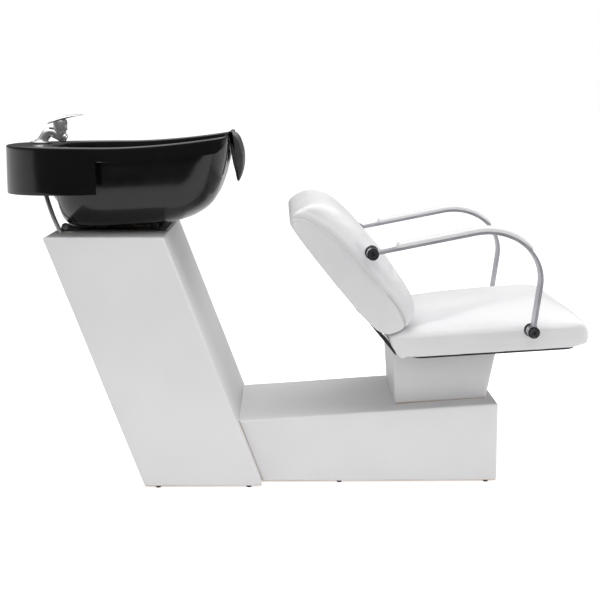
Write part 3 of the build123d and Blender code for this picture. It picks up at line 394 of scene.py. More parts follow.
# ---- leatherette covers ---------------------------------------------------------------
def corner_at(corners, i):
    """A corner of a closed outline with the unit directions into and out of it."""
    a, b, c = (np.array(corners[(i + k) % len(corners)], float) for k in (-1, 0, 1))
    return b, (b - a) / np.linalg.norm(b - a), (c - b) / np.linalg.norm(c - b)


def turn_between(first, second):
    """The signed angle from one unit direction to the next."""
    return atan2(first[0] * second[1] - first[1] * second[0], float(first @ second))


def inset_corners(corners, inset):
    """A convex outline moved in by inset; its corners run anticlockwise."""
    moved = []
    for i in range(len(corners)):
        corner, first, second = corner_at(corners, i)
        n1, n2 = np.array([-first[1], first[0]]), np.array([-second[1], second[0]])
        moved.append(corner + inset * (n1 + n2) / (1 + float(n1 @ n2)))
    return moved


def rounded_ring(corners, radii, runs, arc=5):
    """Points round an outline with an arc at each corner and a fixed number along each run."""
    count = len(corners)
    arcs = []
    for i in range(count):
        corner, first, second = corner_at(corners, i)
        turn = turn_between(first, second)
        radius = max(radii[i], 0.3)
        start = corner - first * radius * tan(turn / 2)
        centre = start + radius * np.array([-first[1], first[0]])
        heading = atan2(first[1], first[0]) - pi / 2
        arcs.append([centre + radius * np.array([cos(heading + turn * s / arc),
                                                 sin(heading + turn * s / arc)])
                     for s in range(arc + 1)])
    ring = []
    for i in range(count):
        ring += arcs[i]
        start, end = arcs[i][-1], arcs[(i + 1) % count][0]
        ring += [start + (end - start) * s / runs[i] for s in range(1, runs[i])]
    return ring


def wrapped_box(name, corners, radii, node, crown=1.2, open_below=None, cutters=()):
    """A cover of foam-backed leatherette pulled round a carcass, with openings cut through it."""
    half, edge = half_width(node), COVER_EDGE
    count = len(corners)
    runs = [max(2, int(np.linalg.norm(np.subtract(corners[(i + 1) % count], corners[i])) / 22))
            for i in range(count)]
    rings = []
    for turn in np.linspace(0, pi / 2, 6):
        inset = edge * (1 - sin(turn))
        y = half - edge * (1 - cos(turn))
        flat = rounded_ring(inset_corners(corners, inset), [max(r - inset * 0.6, 0.4) for r in radii], runs)
        rings.append((y, flat))
    middle = [(y, rings[-1][1]) for y in np.linspace(half - edge, edge - half, 18)[1:-1]]
    everything = rings + middle + [(-y, flat) for y, flat in reversed(rings)]
    points = [(x, y, z) for y, flat in everything for x, z in flat]
    columns = len(rings[0][1])
    faces = ring_faces(len(everything), columns)
    for side, base in ((1, 0), (-1, (len(everything) - 1) * columns)):
        flat = np.array(rings[0][1])
        centre = flat.mean(axis=0)
        inner = [[(x, side * (half + crown * (1 - share**3)), z) for x, z in centre + (flat - centre) * share]
                 for share in (0.93, 0.82, 0.68, 0.52, 0.36, 0.2)]
        close_end(points, faces, base, columns, inner, (centre[0], side * (half + crown), centre[1]))
    piece = add_piece(name, points, faces, LEATHERETTE, "base", "carcass_leatherette", [node])
    with mesh_edit(piece.data) as work:
        if open_below is not None:
            below = [f for f in work.faces if all(v.co.z < (open_below + 0.4) * MM for v in f.verts)]
            bmesh.ops.delete(work, geom=below, context="FACES")
        work.normal_update()
        for vert in work.verts:
            swell = noise.noise(vert.co * 7.0) + 0.4 * noise.noise(vert.co * 19.0)
            vert.co += vert.normal * swell * 0.0007
    shell = piece.modifiers.new("thickness", "SOLIDIFY")
    shell.thickness = 2 * MM
    shell.offset = -1
    applied(piece)
    for corner_low, corner_high, slant in cutters:
        cut_box(piece, corner_low, corner_high, slant)
    crisp(piece, 50)
    return piece


def cut_box(piece, low, high, slant=0.0):
    """Cuts a box, sheared along X by slant per millimetre of height, out of a piece."""
    corners = [(x + slant * (z - low[2]), y, z) for x in (low[0], high[0]) for y in (low[1], high[1])
               for z in (low[2], high[2])]
    mesh = new_mesh("cutter", corners, [(0, 1, 3, 2), (4, 6, 7, 5), (0, 4, 5, 1), (2, 3, 7, 6), (0, 2, 6, 4),
                                        (1, 5, 7, 3)])
    with mesh_edit(mesh) as work:
        bmesh.ops.recalc_face_normals(work, faces=work.faces)
        upright = [e for e in work.edges if abs(e.verts[0].co.z - e.verts[1].co.z) > 1e-4]
        bmesh.ops.bevel(work, geom=upright, offset=0.006, segments=5, affect="EDGES", profile=0.5)
    cutter = linked("cutter", mesh)
    cut = piece.modifiers.new("opening", "BOOLEAN")
    cut.operation = "DIFFERENCE"
    cut.object = cutter
    cut.solver = "EXACT"
    applied(piece)
    bpy.data.objects.remove(cutter)


def crisp(piece, degrees):
    """Keeps edges sharper than an angle crisp in the smooth shading."""
    with mesh_edit(piece.data) as work:
        for edge in work.edges:
            edge.smooth = len(edge.link_faces) != 2 or edge.calc_face_angle(0) <= radians(degrees)


COVER_LOW, COVER_EDGE, COVER_RADIUS = 3.6, 5.0, 5.5
COLUMN_LEAN, COLUMN_DEPTH, COLUMN_TOP = 210.0 / 554.0, 261.0, 558
BEAM_FRONT, BEAM_FRONT_TOP, BEAM_SLOPE = 459.0, 181.0, 0.0656
BEAM_MEETS_COLUMN = 141.7
SEAT_ORIGIN, SEAT_TURN = np.array([262.0, 295.7]), radians(3.46)
BACK_ORIGIN, BACK_TURN = np.array([190.0, 346.0]), radians(39.2)


def column_rear(z):
    return -328.0 - (z - 4.0) * COLUMN_LEAN


def column_front(z):
    return column_rear(z) + COLUMN_DEPTH


def beam_top(x):
    return BEAM_FRONT_TOP - (BEAM_FRONT - x) * BEAM_SLOPE


def pan_under(x):
    return SEAT_ORIGIN[1] + (x - SEAT_ORIGIN[0]) * tan(SEAT_TURN)


column_corners = [(column_rear(COVER_LOW), COVER_LOW), (column_front(COVER_LOW), COVER_LOW),
                  (column_front(COLUMN_TOP), COLUMN_TOP), (column_rear(COLUMN_TOP), COLUMN_TOP)]
# the openings: a slot for each hose, the hinge bracket, and the access panel in the rear
wrapped_box(
    "column_skin", column_corners, [COVER_RADIUS] * 4, "column_cover", open_below=COVER_LOW, cutters=[
        ((-525, 97, 540), (-489, 123, 575), 0), ((-525, -123, 540), (-489, -97, 575), 0),
        ((-450, -50, 540), (-340, 50, 575), 0),
        ((column_rear(60) - 30, -130, 60), (column_rear(60) + 14, 130, 420), -COLUMN_LEAN),
    ],
)

beam_rear = column_front(BEAM_MEETS_COLUMN)
beam_corners = [(column_front(COVER_LOW), COVER_LOW), (BEAM_FRONT, COVER_LOW), (BEAM_FRONT, BEAM_FRONT_TOP),
                (beam_rear, beam_top(beam_rear))]
wrapped_box("beam_skin", beam_corners, [0.8, COVER_RADIUS, COVER_RADIUS, 0.8], "beam_cover",
            open_below=COVER_LOW)

plinth_corners = [(234, beam_top(234) + 0.4), (440, beam_top(440) + 0.4), (466, pan_under(466) - 0.3),
                  (226, pan_under(226) - 0.3)]
wrapped_box("plinth_skin", plinth_corners, [3, 3, 2, 2], "plinth_cover", crown=0.8)


# ---- upholstery -----------------------------------------------------------------------
def face_point(origin, turn, along, up, y):
    """The point at a place along and above a tilted face, y from the middle."""
    return (origin[0] + along * cos(turn) - up * sin(turn), y,
            origin[1] + along * sin(turn) + up * cos(turn))


def face_place(points, origin, turn):
    """How far along and above a tilted face each point is."""
    x, z = points[:, 0] - origin[0], points[:, 2] - origin[1]
    return x * cos(turn) + z * sin(turn), z * cos(turn) - x * sin(turn)


def padded_block(name, outline_at, half, edge, rows, stands_for, crown):
    """A closed form on the seat whose side outline changes across the width, drawn in at each end by edge."""
    turns = np.linspace(0, pi / 2, 7)
    end = [(half - edge * (1 - cos(t)), edge * (1 - sin(t))) for t in turns]
    middle = [(y, 0.0) for y in np.linspace(half - edge, edge - half, rows)[1:-1]]
    stations = end + middle + [(-y, draw) for y, draw in reversed(end)]
    points = []
    for y, draw in stations:
        outline = np.array(outline_at(abs(y) / half))
        along = along_outline(outline)
        inward = np.stack([-along[:, 1], along[:, 0]], axis=1)
        inward *= np.sign(np.sum(inward * (outline.mean(axis=0) - outline), axis=1).mean())
        points += [face_point(SEAT_ORIGIN, SEAT_TURN, u, v, y) for u, v in outline + inward * draw]
    columns = len(outline_at(1.0))
    faces = ring_faces(len(stations), columns)
    for side, base in ((1, 0), (-1, (len(stations) - 1) * columns)):
        rim = np.array(points[base:base + columns])
        centre = rim.mean(axis=0)
        inner = [[tuple(p) for p in centre + (rim - centre) * share + np.array([0, side * crown * (1 - share**2), 0])]
                 for share in (0.9, 0.75, 0.55, 0.35, 0.15)]
        close_end(points, faces, base, columns, inner, tuple(centre + np.array([0, side * crown, 0])))
    return add_piece(name, points, faces, VINYL, "base", "upholstery", stands_for)


def inflated(piece, weight, voxel=5.5, pressure=4.0, cap=5.0):
    """Fills a pad by a cloth simulation, each point moving by no more than cap times its weight."""
    remesh = piece.modifiers.new("remesh", "REMESH")
    remesh.mode = "VOXEL"
    remesh.voxel_size = voxel * MM
    applied(piece)
    before = coordinates(piece.data)
    cloth = piece.modifiers.new("cloth", "CLOTH")
    cloth.settings.use_pressure = True
    cloth.settings.uniform_pressure_force = pressure
    cloth.settings.effector_weights.gravity = 0
    cloth.settings.quality = 4
    for step in range(1, 21):
        scene.frame_set(step)
    applied(piece)
    scene.frame_set(1)
    move = coordinates(piece.data) - before
    reach = np.linalg.norm(move, axis=1)
    limit = cap * MM
    scale = limit * np.tanh(reach / limit) / np.maximum(reach, 1e-9)
    after = before + move * (scale * weight(before / MM))[:, None]
    piece.data.vertices.foreach_set("co", after.ravel())
    finer = piece.modifiers.new("finer", "SUBSURF")
    finer.levels = 1
    finer.render_levels = 1
    return applied(piece)


def welt(name, line, target, radius=1.5, sink=0.45, count=120):
    """A sewn welt: a thin roll that follows a line, snapped to the surface of the pad under it."""
    work = bmesh.new()
    work.from_mesh(target.data)
    tree = BVHTree.FromBMesh(work)
    work.free()
    snapped = []
    for point in spline_through(line, count):
        hit, normal, _, _ = tree.find_nearest(Vector(point) * MM)
        snapped.append(np.array(hit) / MM + np.array(normal) * radius * (1 - 2 * sink))
    path = np.array(snapped)
    for _ in range(3):
        path[1:-1] = 0.25 * path[:-2] + 0.5 * path[1:-1] + 0.25 * path[2:]
    rings = []
    up = np.array([0.13, 0.97, 0.21])
    for i, point in enumerate(path):
        along = path[min(i + 1, len(path) - 1)] - path[max(i - 1, 0)]
        along /= np.linalg.norm(along) + 1e-9
        across = np.cross(along, up)
        across /= np.linalg.norm(across) + 1e-9
        third = np.cross(along, across)
        size = radius * min(1.0, 0.35 + 0.65 * min(i, len(path) - 1 - i) / 2)
        rings.append([point + size * (cos(a) * across + sin(a) * third)
                      for a in full_turn(10)])
    return add_piece(name, *lofted(rings), PIPING, "base", "upholstery")


# the seat cushion: a boxed side 52 high and a crowned top
SEAT_HALF = half_width("seat_cushion")
SEAT_TOP_LINE = [(-52.5, 48), (-30, 55), (-10, 58), (50, 66), (120, 76), (225, 88), (290, 88), (332, 81),
                 (360, 68), (378, 51), (386, 33)]
SEAT_LOW_LINE = [(386, 33), (386, 22), (380, 10), (352, 6), (250, 5.8), (100, 5.8), (-20, 5.8), (-34, 7),
                 (-46, 22), (-51.5, 36), (-52.5, 48)]
SEAT_TOP_SAMPLES = spline_through(SEAT_TOP_LINE, 70)[:-1]
SEAT_LOW_SAMPLES = spline_through(SEAT_LOW_LINE, 70)[:-1]


def seat_outline(share):
    """Side outline of the cushion at a share of the half width."""
    crown = 51.0 + 43.0 * (1 - share**2.4)
    top = SEAT_TOP_SAMPLES.copy()
    over = top[:, 1] - crown
    soft = 5.0
    top[:, 1] = np.where(over > -soft, crown - soft * np.exp(-np.clip(over + soft, 0, 80) / soft), top[:, 1])
    return np.vstack([top, SEAT_LOW_SAMPLES])[::-1]


seat = padded_block("seat_pad", seat_outline, SEAT_HALF - 4, 9.0, 26, ["seat_cushion"], crown=2.0)


def seat_weight(points):
    """Free above the board, held on it."""
    return smooth_step(face_place(points, SEAT_ORIGIN, SEAT_TURN)[1], 7.0, 16.0)


inflated(seat, seat_weight)


def shape_seat(piece):
    """A soft ridge along the top edge of each side, and sides that hang past the pan."""
    spots = coordinates(piece.data) / MM
    along, up = face_place(spots, SEAT_ORIGIN, SEAT_TURN)
    side = np.sign(spots[:, 1])
    outer = smooth_step(np.abs(spots[:, 1]), SEAT_HALF - 14, SEAT_HALF - 5)
    ridge = 1.6 * np.exp(-((up - 47.0) / 4.0) ** 2) - 1.4 * np.exp(-((up - 38.0) / 4.5) ** 2)
    spots[:, 1] += side * outer * ridge * smooth_step(along, -30, 10) * (1 - smooth_step(along, 330, 370))
    hang = smooth_step(np.abs(spots[:, 1]), 238, 246) * (1 - smooth_step(up, 9, 25))
    hang *= smooth_step(along, -20, 20) * (1 - smooth_step(along, 340, 372))
    spots[:, 1] += side * hang * np.maximum(0.0, 250.7 - np.abs(spots[:, 1]))
    spots[:, 2] -= 3.0 * hang
    set_coordinates(piece.data, spots)


shape_seat(seat)

# the backrest: a flat side panel sewn to a wrap that runs over the top and the front
BACK_HALF = half_width("backrest_body")
BACK_LINE = [(-2, 30), (-5, 70), (-5.4, 150), (-4.6, 230), (-1, 296), (2.5, 312), (9, 320), (22, 323),
             (42, 321), (62, 314), (79, 301), (91, 281), (99, 252), (104, 215), (107, 160), (108, 100),
             (106, 50), (101, 14),
             (93, -8), (80, -19), (64, -23), (46, -23), (28, -19), (12, -9), (2, 8), (-2, 30)]
BACK_SAMPLES = spline_through(BACK_LINE, 180)[:-1]
# where the side panel meets the wrap, from the rear corner over the top and down to the foot
SIDE_SEAM = [(3, 316), (14, 316), (26, 307), (36, 293), (46, 268), (56, 230), (61, 180), (63, 130),
             (66, 90), (68, 62), (68, 38), (66, 14), (61, -6), (52, -20), (46, -25)]
SEAM_FINE = spline_through(SIDE_SEAM, 260)
SEAM_OPENS = 66.0


def back_edge(flat):
    """How far each point of the side outline is rounded off towards the side."""
    forward, up = flat[:, 0], flat[:, 1]
    return 6.0 + 24.0 * smooth_step(forward, 50, 95) + 6.0 * smooth_step(up, 300, 322) * smooth_step(forward, 15, 60)


def back_points():
    """Points and faces of the whole backrest, its sides rounded off."""
    turns = np.linspace(0, pi / 2, 9)
    edge = back_edge(BACK_SAMPLES)
    along = along_outline(BACK_SAMPLES)
    inward = np.stack([along[:, 1], -along[:, 0]], axis=1)
    half = BACK_HALF - 2.0
    rows = []
    for turn in turns:
        flat = BACK_SAMPLES + inward * (edge * (1 - sin(turn)))[:, None]
        rows.append((half - edge * (1 - cos(turn)), flat))
    for share in np.linspace(1, -1, 30)[1:-1]:
        rows.append(((half - edge) * share, BACK_SAMPLES))
    rows += [(-y, flat) for y, flat in rows[:len(turns)][::-1]]
    count = len(BACK_SAMPLES)
    points = []
    for y, flat in rows:
        points += [face_point(BACK_ORIGIN, BACK_TURN, t, u, y[k]) for k, (t, u) in enumerate(flat)]
    faces = ring_faces(len(rows), count)
    for base in (0, (len(rows) - 1) * count):
        rim = np.array(points[base:base + count])
        centre = rim.mean(axis=0)
        inner = [[tuple(p) for p in centre + (rim - centre) * share] for share in np.linspace(1, 0, 14)[1:-1]]
        close_end(points, faces, base, count, inner, tuple(centre))
    return points, faces


back = add_piece("backrest_pad_and_panel", *back_points(), VINYL, "base", "upholstery",
                 ["backrest_body", "backrest_pad"])


def back_weight(points):
    """Held on the board at the rear, free towards the front."""
    return smooth_step(face_place(points, BACK_ORIGIN, BACK_TURN)[0], 4, 70)


inflated(back, back_weight)


def sew_back(piece):
    """Draws the seam into each side: a shallow tuck above, an open join below."""
    spots = coordinates(piece.data) / MM
    forward, up = face_place(spots, BACK_ORIGIN, BACK_TURN)
    side = np.sign(spots[:, 1])
    outer = smooth_step(np.abs(spots[:, 1]), BACK_HALF - 26, BACK_HALF - 10)
    gap = np.full(len(spots), 1e9)
    nearest = np.zeros(len(spots), int)
    for i, (t, u) in enumerate(SEAM_FINE):
        away = np.hypot(forward - t, up - u)
        closer = away < gap
        gap[closer] = away[closer]
        nearest[closer] = i
    seam_up = SEAM_FINE[nearest, 1]
    opened = 1 - smooth_step(seam_up, SEAM_OPENS - 14, SEAM_OPENS + 4)
    beyond = (forward - SEAM_FINE[nearest, 0]) > 0
    tuck = (1.3 + 5.2 * opened) * np.exp(-(gap / (2.6 - 0.4 * opened)) ** 2)
    swell = np.where(beyond, 2.0, 0.6) * np.exp(-((gap - 9.0) / 6.0) ** 2)
    spots[:, 1] += side * outer * (swell - tuck)
    set_coordinates(piece.data, spots)


sew_back(back)
for label, side in SIDES:
    seam = [face_point(BACK_ORIGIN, BACK_TURN, t - 3.0, u, side * (BACK_HALF + 2)) for t, u in SIDE_SEAM[:10]]
    welt(f"backrest_welt_{label}", seam, back)


# ---- arm pads -------------------------------------------------------------------------
ARM_PATH = [(169, 528), (444.6, 582.3), (533.6, 511.9), (513, 360)]
ARM_RADII = [130, 93]
ARM_Y = 274.0


def rounded_line(points, radii, step=4.0):
    """Points and left-hand normals along a line whose corners are rounded."""
    points = [np.array(p, float) for p in points]
    out = []
    start = points[0]
    for before, here, after, radius in zip(points, points[1:], points[2:], radii):
        first, second = (here - before), (after - here)
        first /= np.linalg.norm(first)
        second /= np.linalg.norm(second)
        turn = turn_between(first, second)
        reach = radius * tan(abs(turn) / 2)
        into, side = here - first * reach, copysign(1, turn)
        normal = np.array([-first[1], first[0]])
        count = max(1, int(np.linalg.norm(into - start) / step))
        out += [(start + (into - start) * s / count, normal) for s in range(count)]
        centre = into + side * radius * normal
        count = max(4, int(radius * abs(turn) / step))
        for s in range(count):
            a = turn * s / count
            turned = np.array([normal[0] * cos(a) - normal[1] * sin(a),
                               normal[0] * sin(a) + normal[1] * cos(a)])
            out.append((centre - side * radius * turned, turned))
        start = here + second * reach
    normal = np.array([-second[1], second[0]])
    count = max(1, int(np.linalg.norm(points[-1] - start) / step))
    out += [(start + (points[-1] - start) * s / count, normal) for s in range(count + 1)]
    return out


arm_line = rounded_line(ARM_PATH, ARM_RADII)
arm_lengths = np.cumsum([0] + [np.linalg.norm(b[0] - a[0]) for a, b in zip(arm_line, arm_line[1:])])
pad_first = next(i for i, (p, _) in enumerate(arm_line) if p[0] > 219)
pad_last = next(i for i, (p, _) in enumerate(arm_line) if p[0] > 502 and i > pad_first)
PAD_LOW = 3.05
for label, side in SIDES:
    rings = []
    for i in range(pad_first, pad_last + 1):
        point, normal = arm_line[i]
        near, far = arm_lengths[i] - arm_lengths[pad_first], arm_lengths[pad_last] - arm_lengths[i]
        rise = (sqrt(max(0.0, 1 - (1 - min(near / 7, 1))**2)) * (0.5 + 0.5 * min(1, far / 46))
                * sqrt(min(1, 0.15 + far / 4)))
        width = (22.5 - 2.5 * (1 - min(near / 9, 1))**2) * (0.7 + 0.3 * sqrt(min(1, far / 30 + 0.02)))
        thick = 0.6 + 10.2 * rise
        ring = []
        for a in full_turn(40):
            s = sin(a)
            y = width * signed_power(cos(a), 0.34)
            up = signed_power(s, 0.62 if s > 0 else 0.2)
            crown = 1.0 - 0.12 * (y / width) ** 2
            lift = PAD_LOW + thick * (0.5 + 0.5 * up) * crown
            spot = point + normal * lift
            ring.append((spot[0], side * ARM_Y + y, spot[1]))
        rings.append(ring)
    piece = add_piece(f"arm_pad_{label}_soft", *lofted(rings), ARM_SOFT, "base", "arm_pad", [f"arm_pad_{label}"])


# ---- basin ----------------------------------------------------------------------------
BASIN_REAR, BASIN_FRONT, BASIN_HALF = -645.0, -138.0, 252.0
BASIN_CENTRE = -345.0
WALL = 4.5
DRAIN_X = -395.0
FLOOR_X, FLOOR_Z, FLOOR_TURN = -444.0, 571.0, tan(radians(3.0))
BOWL_SECTIONS = np.array([
    (0, 128, -488, -262), (6, 156, -504, -232), (18, 178, -514, -203), (40, 198, -521, -174),
    (75, 213, -527, -157), (120, 223, -531, -145), (172, 230, -534, -139.5), (235, 233, -536, -138.5),
], float)
FLANGE_LINE = [(-800, 719), (-400, 719), (-317, 722), (-210, 731), (-166, 737.5),
               (-154, 742), (-147, 748), (-142, 756), (-138.5, 766)]
SKIRT_END = -416.0
REAR_RADIUS, FRONT_RADIUS = 235.0, 35.0
OPENING_HEIGHT = 182.0
RIM_EDGE = 4.0
DRAIN_RADIUS = 26.0


FLANGE_FINE = spline_through(FLANGE_LINE, 400)


def flange_edge(x):
    """Height of the flange's lower edge at each x."""
    return np.interp(x, FLANGE_FINE[:, 0], FLANGE_FINE[:, 1])


def rim_height(x):
    """Height of the rim, which rises towards the front."""
    x = np.asarray(x, float)
    return 750.0 + 26.0 * (np.clip((x + 400.0) / 280.0, 0, 1)) ** 1.774


def notch_height(y):
    """Height of the neck notch's edge."""
    return 776.0 - 38.0 * np.sqrt(np.clip(1 - (np.asarray(y, float) / 85.0) ** 2, 0, 1))


def rounded_plan(rear, front, half, rear_radius, front_radius, count=24):
    """Closed plan from the middle of the front, anticlockwise."""
    out = []
    for cx, cy, radius, start in (
        (front - front_radius, half - front_radius, front_radius, 0),
        (rear + rear_radius, half - rear_radius, rear_radius, 90),
        (rear + rear_radius, rear_radius - half, rear_radius, 180),
        (front - front_radius, front_radius - half, front_radius, 270),
    ):
        out += [(cx + radius * cos(radians(a)), cy + radius * sin(radians(a)))
                for a in np.linspace(start, start + 90, count)]
    return np.array(out)


def along_rays(plan, angles):
    """Where rays from the basin's centre meet a plan, as points."""
    closed = np.vstack([plan, plan[:1]])
    fine = []
    for a, b in zip(closed, closed[1:]):
        pieces = max(1, int(np.linalg.norm(b - a) / 2.5))
        fine += [a + (b - a) * s / pieces for s in range(pieces)]
    fine = np.array(fine)
    turn = np.arctan2(fine[:, 1], fine[:, 0] - BASIN_CENTRE)
    reach = np.hypot(fine[:, 0] - BASIN_CENTRE, fine[:, 1])
    order = np.argsort(turn)
    radius = np.interp(angles, turn[order], reach[order], period=2 * pi)
    return np.stack([BASIN_CENTRE + radius * np.cos(angles), radius * np.sin(angles)], axis=1)


outer_plan = rounded_plan(BASIN_REAR, BASIN_FRONT, BASIN_HALF, REAR_RADIUS, FRONT_RADIUS)
perimeter = np.vstack([outer_plan, outer_plan[:1]])
walk = []
for a, b in zip(perimeter, perimeter[1:]):
    on_front = abs(a[0] - b[0]) < 1 and a[0] > -150
    pieces = max(1, int(np.linalg.norm(b - a) / (4.0 if on_front else 9.0)))
    walk += [a + (b - a) * s / pieces for s in range(pieces)]
walk = np.array(walk)
angles = np.sort(np.unique(np.round(np.arctan2(walk[:, 1], walk[:, 0] - BASIN_CENTRE), 6)))
outer = along_rays(outer_plan, angles)
columns = len(angles)
facing = np.stack([np.cos(angles), np.sin(angles)], axis=1)
rim = rim_height(outer[:, 0])
front_share = smooth_step(outer[:, 0], -139.5, -138.2)
dip = np.minimum(rim, notch_height(outer[:, 1]))
rim_edge = rim + (dip - rim) * front_share

flange_low = np.minimum(flange_edge(outer[:, 0]), rim_edge - 5.0)


def bowl_plan_at(height):
    """Inside of the bowl at a height above its floor."""
    half, rear, front = (np.interp(height, BOWL_HEIGHTS, BOWL_FINE[:, k]) for k in (1, 2, 3))
    return rounded_plan(rear + WALL, front - WALL, half - WALL, 0.62 * half - WALL,
                        half * (0.47 - 0.25 * height / 235.0) - WALL)


BOWL_FINE = spline_through(BOWL_SECTIONS, 120)
BOWL_HEIGHTS = BOWL_FINE[:, 0]
opening = along_rays(bowl_plan_at(OPENING_HEIGHT), angles)
opening_z = np.minimum(rim_height(opening[:, 0]), np.where(opening[:, 0] > -150, dip, 900.0))

rings = []


def add_ring(flat, heights):
    rings.append(np.column_stack([flat, heights]))


def floor_height(flat):
    """Height of the bowl's sloping inner floor below points of a plan."""
    return FLOOR_Z + (flat[:, 0] - FLOOR_X) * FLOOR_TURN + WALL


# outside, from the skirt's lower edge up to the rim
skirt_low = 641.0 + 10.0 * (outer[:, 0] + 700.0) / 284.0
for share in np.linspace(0, 1, 10)[:-1]:
    add_ring(outer, skirt_low + (flange_low - skirt_low) * share)
skirt_rows = len(rings)
for share in np.linspace(0, 1, 6):
    add_ring(outer, flange_low + (rim_edge - RIM_EDGE - flange_low) * share)
roll = np.minimum(RIM_EDGE, 0.45 * np.linalg.norm(outer - opening, axis=1))
for turn in np.linspace(0, pi / 2, 7)[1:]:
    inward = roll * (1 - cos(turn))
    add_ring(outer - facing * inward[:, None], rim_edge - RIM_EDGE * (1 - sin(turn)))
deck_start = outer - facing * roll[:, None]
deck_end = opening + facing * roll[:, None]
for share in np.linspace(0, 1, 7)[1:]:
    flat = deck_start + (deck_end - deck_start) * share
    deck_z = np.where(front_share > 0.5, rim_edge + (opening_z - rim_edge) * share, rim_height(flat[:, 0]))
    add_ring(flat, deck_z)
deck_top = rings[-1][:, 2]
for turn in np.linspace(0, pi / 2, 6)[1:]:
    inward = roll * sin(turn)
    add_ring(deck_end - facing * inward[:, None], deck_top - RIM_EDGE * (1 - cos(turn)))
# inside the bowl, down to the drain
start_z = rings[-1][:, 2]
for height in [176, 168, 158, 146, 132, 118, 104, 90, 76, 63, 51, 41, 32, 25, 19, 14, 10, 7, 4.5, 2.5, 1.0, 0.0]:
    flat = along_rays(bowl_plan_at(height), angles)
    share = smooth_step(height, 100, OPENING_HEIGHT)
    z = floor_height(flat) + height
    z = z + (start_z - 4.0 - (floor_height(flat) + OPENING_HEIGHT)) * share
    z = np.minimum(z, start_z - (OPENING_HEIGHT - height) * 0.35)
    add_ring(flat, z)
floor_ring = rings[-1]
drain = np.column_stack([DRAIN_X + DRAIN_RADIUS * np.cos(angles), DRAIN_RADIUS * np.sin(angles)])
for share in (0.12, 0.3, 0.5, 0.7, 0.86, 1.0):
    flat = floor_ring[:, :2] + (drain - floor_ring[:, :2]) * share
    fall = 1.2 * (1 - share) * sin(pi * share)
    add_ring(flat, floor_height(flat) + fall - 0.6 * smooth_step(share, 0.6, 1))

basin = add_piece("basin_bowl", np.vstack(rings), ring_faces(len(rings), columns), GLOSS, "basin",
                  "basin_plastic", ["basin"])

# the deep skirt stops behind the drain: cut along its front edge and drop what is in front
work = bmesh.new()
work.from_mesh(basin.data)
wall = [f for f in work.faces if all(abs(v.co.y) > 0.2514 and v.co.z < 0.7192 for v in f.verts)]
touched = set(wall)
for face in wall:
    touched.update(face.edges)
    touched.update(face.verts)
bmesh.ops.bisect_plane(work, geom=list(touched), plane_co=Vector((SKIRT_END, 0, 684)) * MM,
                       plane_no=Vector((1, 0, 0)), dist=1e-6)
doomed = []
for face in work.faces:
    centre = face.calc_center_median() / MM
    front_skirt = centre.x > -174.0 and centre.z < 766 and face.index < skirt_rows * columns
    in_front = centre.x > SKIRT_END + 0.02 and (abs(centre.y) > 251.4 or front_skirt)
    if in_front and centre.z < float(flange_edge(centre.x)) - 0.02:
        doomed.append(face)
bmesh.ops.delete(work, geom=doomed, context="FACES")
# the skirt's front end is drawn in as a facet
for vert in work.verts:
    x, y, z = vert.co / MM
    crease = -455.0 - 40.0 * (747.0 - z) / 90.0
    if abs(y) > 251.0 and z < 724 and x > crease and x < SKIRT_END + 1:
        drawn = 5.0 * min(1.0, (x - crease) / 60.0) * float(smooth_step(724 - z, 0, 20))
        vert.co.y -= copysign(drawn, y) * MM
work.to_mesh(basin.data)
work.free()

thin = basin.vertex_groups.new(name="thickness")
spots = coordinates(basin.data) / MM
for index, (x, y, z) in enumerate(spots):
    close = min(1.0, abs(float(rim_height(x)) - z) / 12.0)
    near_front = 1.0 if x > -190 and z > 730 else 0.0
    thin.add([index], 1.0 - 0.45 * near_front * (1 - close), "REPLACE")
shell = basin.modifiers.new("thickness", "SOLIDIFY")
shell.thickness = WALL * MM
shell.offset = -1
shell.vertex_group = "thickness"
shell.use_rim = True
applied(basin)
basin.vertex_groups.clear()
bevelled(basin, 1.1, 55)
applied(basin)
crisp(basin, 60)


# ---- neck rest ------------------------------------------------------------------------
def rest_top(y):
    """Height of the saddle's upper face across the basin."""
    return 777.0 - 26.0 * np.clip(1 - abs(y / 84.0) ** 2.4, 0, 1) ** 0.9


def rest_profile(y, draw):
    """Closed side outline of the neck rest at a distance from its middle."""
    top = float(rest_top(y))
    under = float(notch_height(y)) + 0.5 if abs(y) < 84.5 else 776.0
    inner = -138.5 - 30.0 * sqrt(max(0.0, 1 - (y / 84.8) ** 2)) ** 0.8
    under = min(under, top - 1.0)
    line = [(-126, 690), (-131.5, 712), (-136.4, min(742, under - 6)), (-138.2, under), ((inner - 138) / 2, under),
            (inner + 3, under + 0.5), (inner, (under + top) / 2), (inner + 3, top - 1.5),
            ((inner - 138) / 2, top + 0.6), (-136, top), (-127, top - 4), (-119, top - 14),
            (-113, top - 30), (-109, 724 + 0.2 * (top - 752)), (-108.6, 708), (-110.5, 692), (-114, 679),
            (-117.5, 670.5), (-121.5, 670.5), (-123.5, 677), (-126, 690)]
    flat = spline_through(line, 89)[:-1]
    if draw > 0:
        along = along_outline(flat)
        inward = np.stack([-along[:, 1], along[:, 0]], axis=1)
        area = np.sum(flat[:, 0] * np.roll(flat[:, 1], -1) - np.roll(flat[:, 0], -1) * flat[:, 1])
        flat = flat + inward * draw * (1 if area > 0 else -1)
    return flat


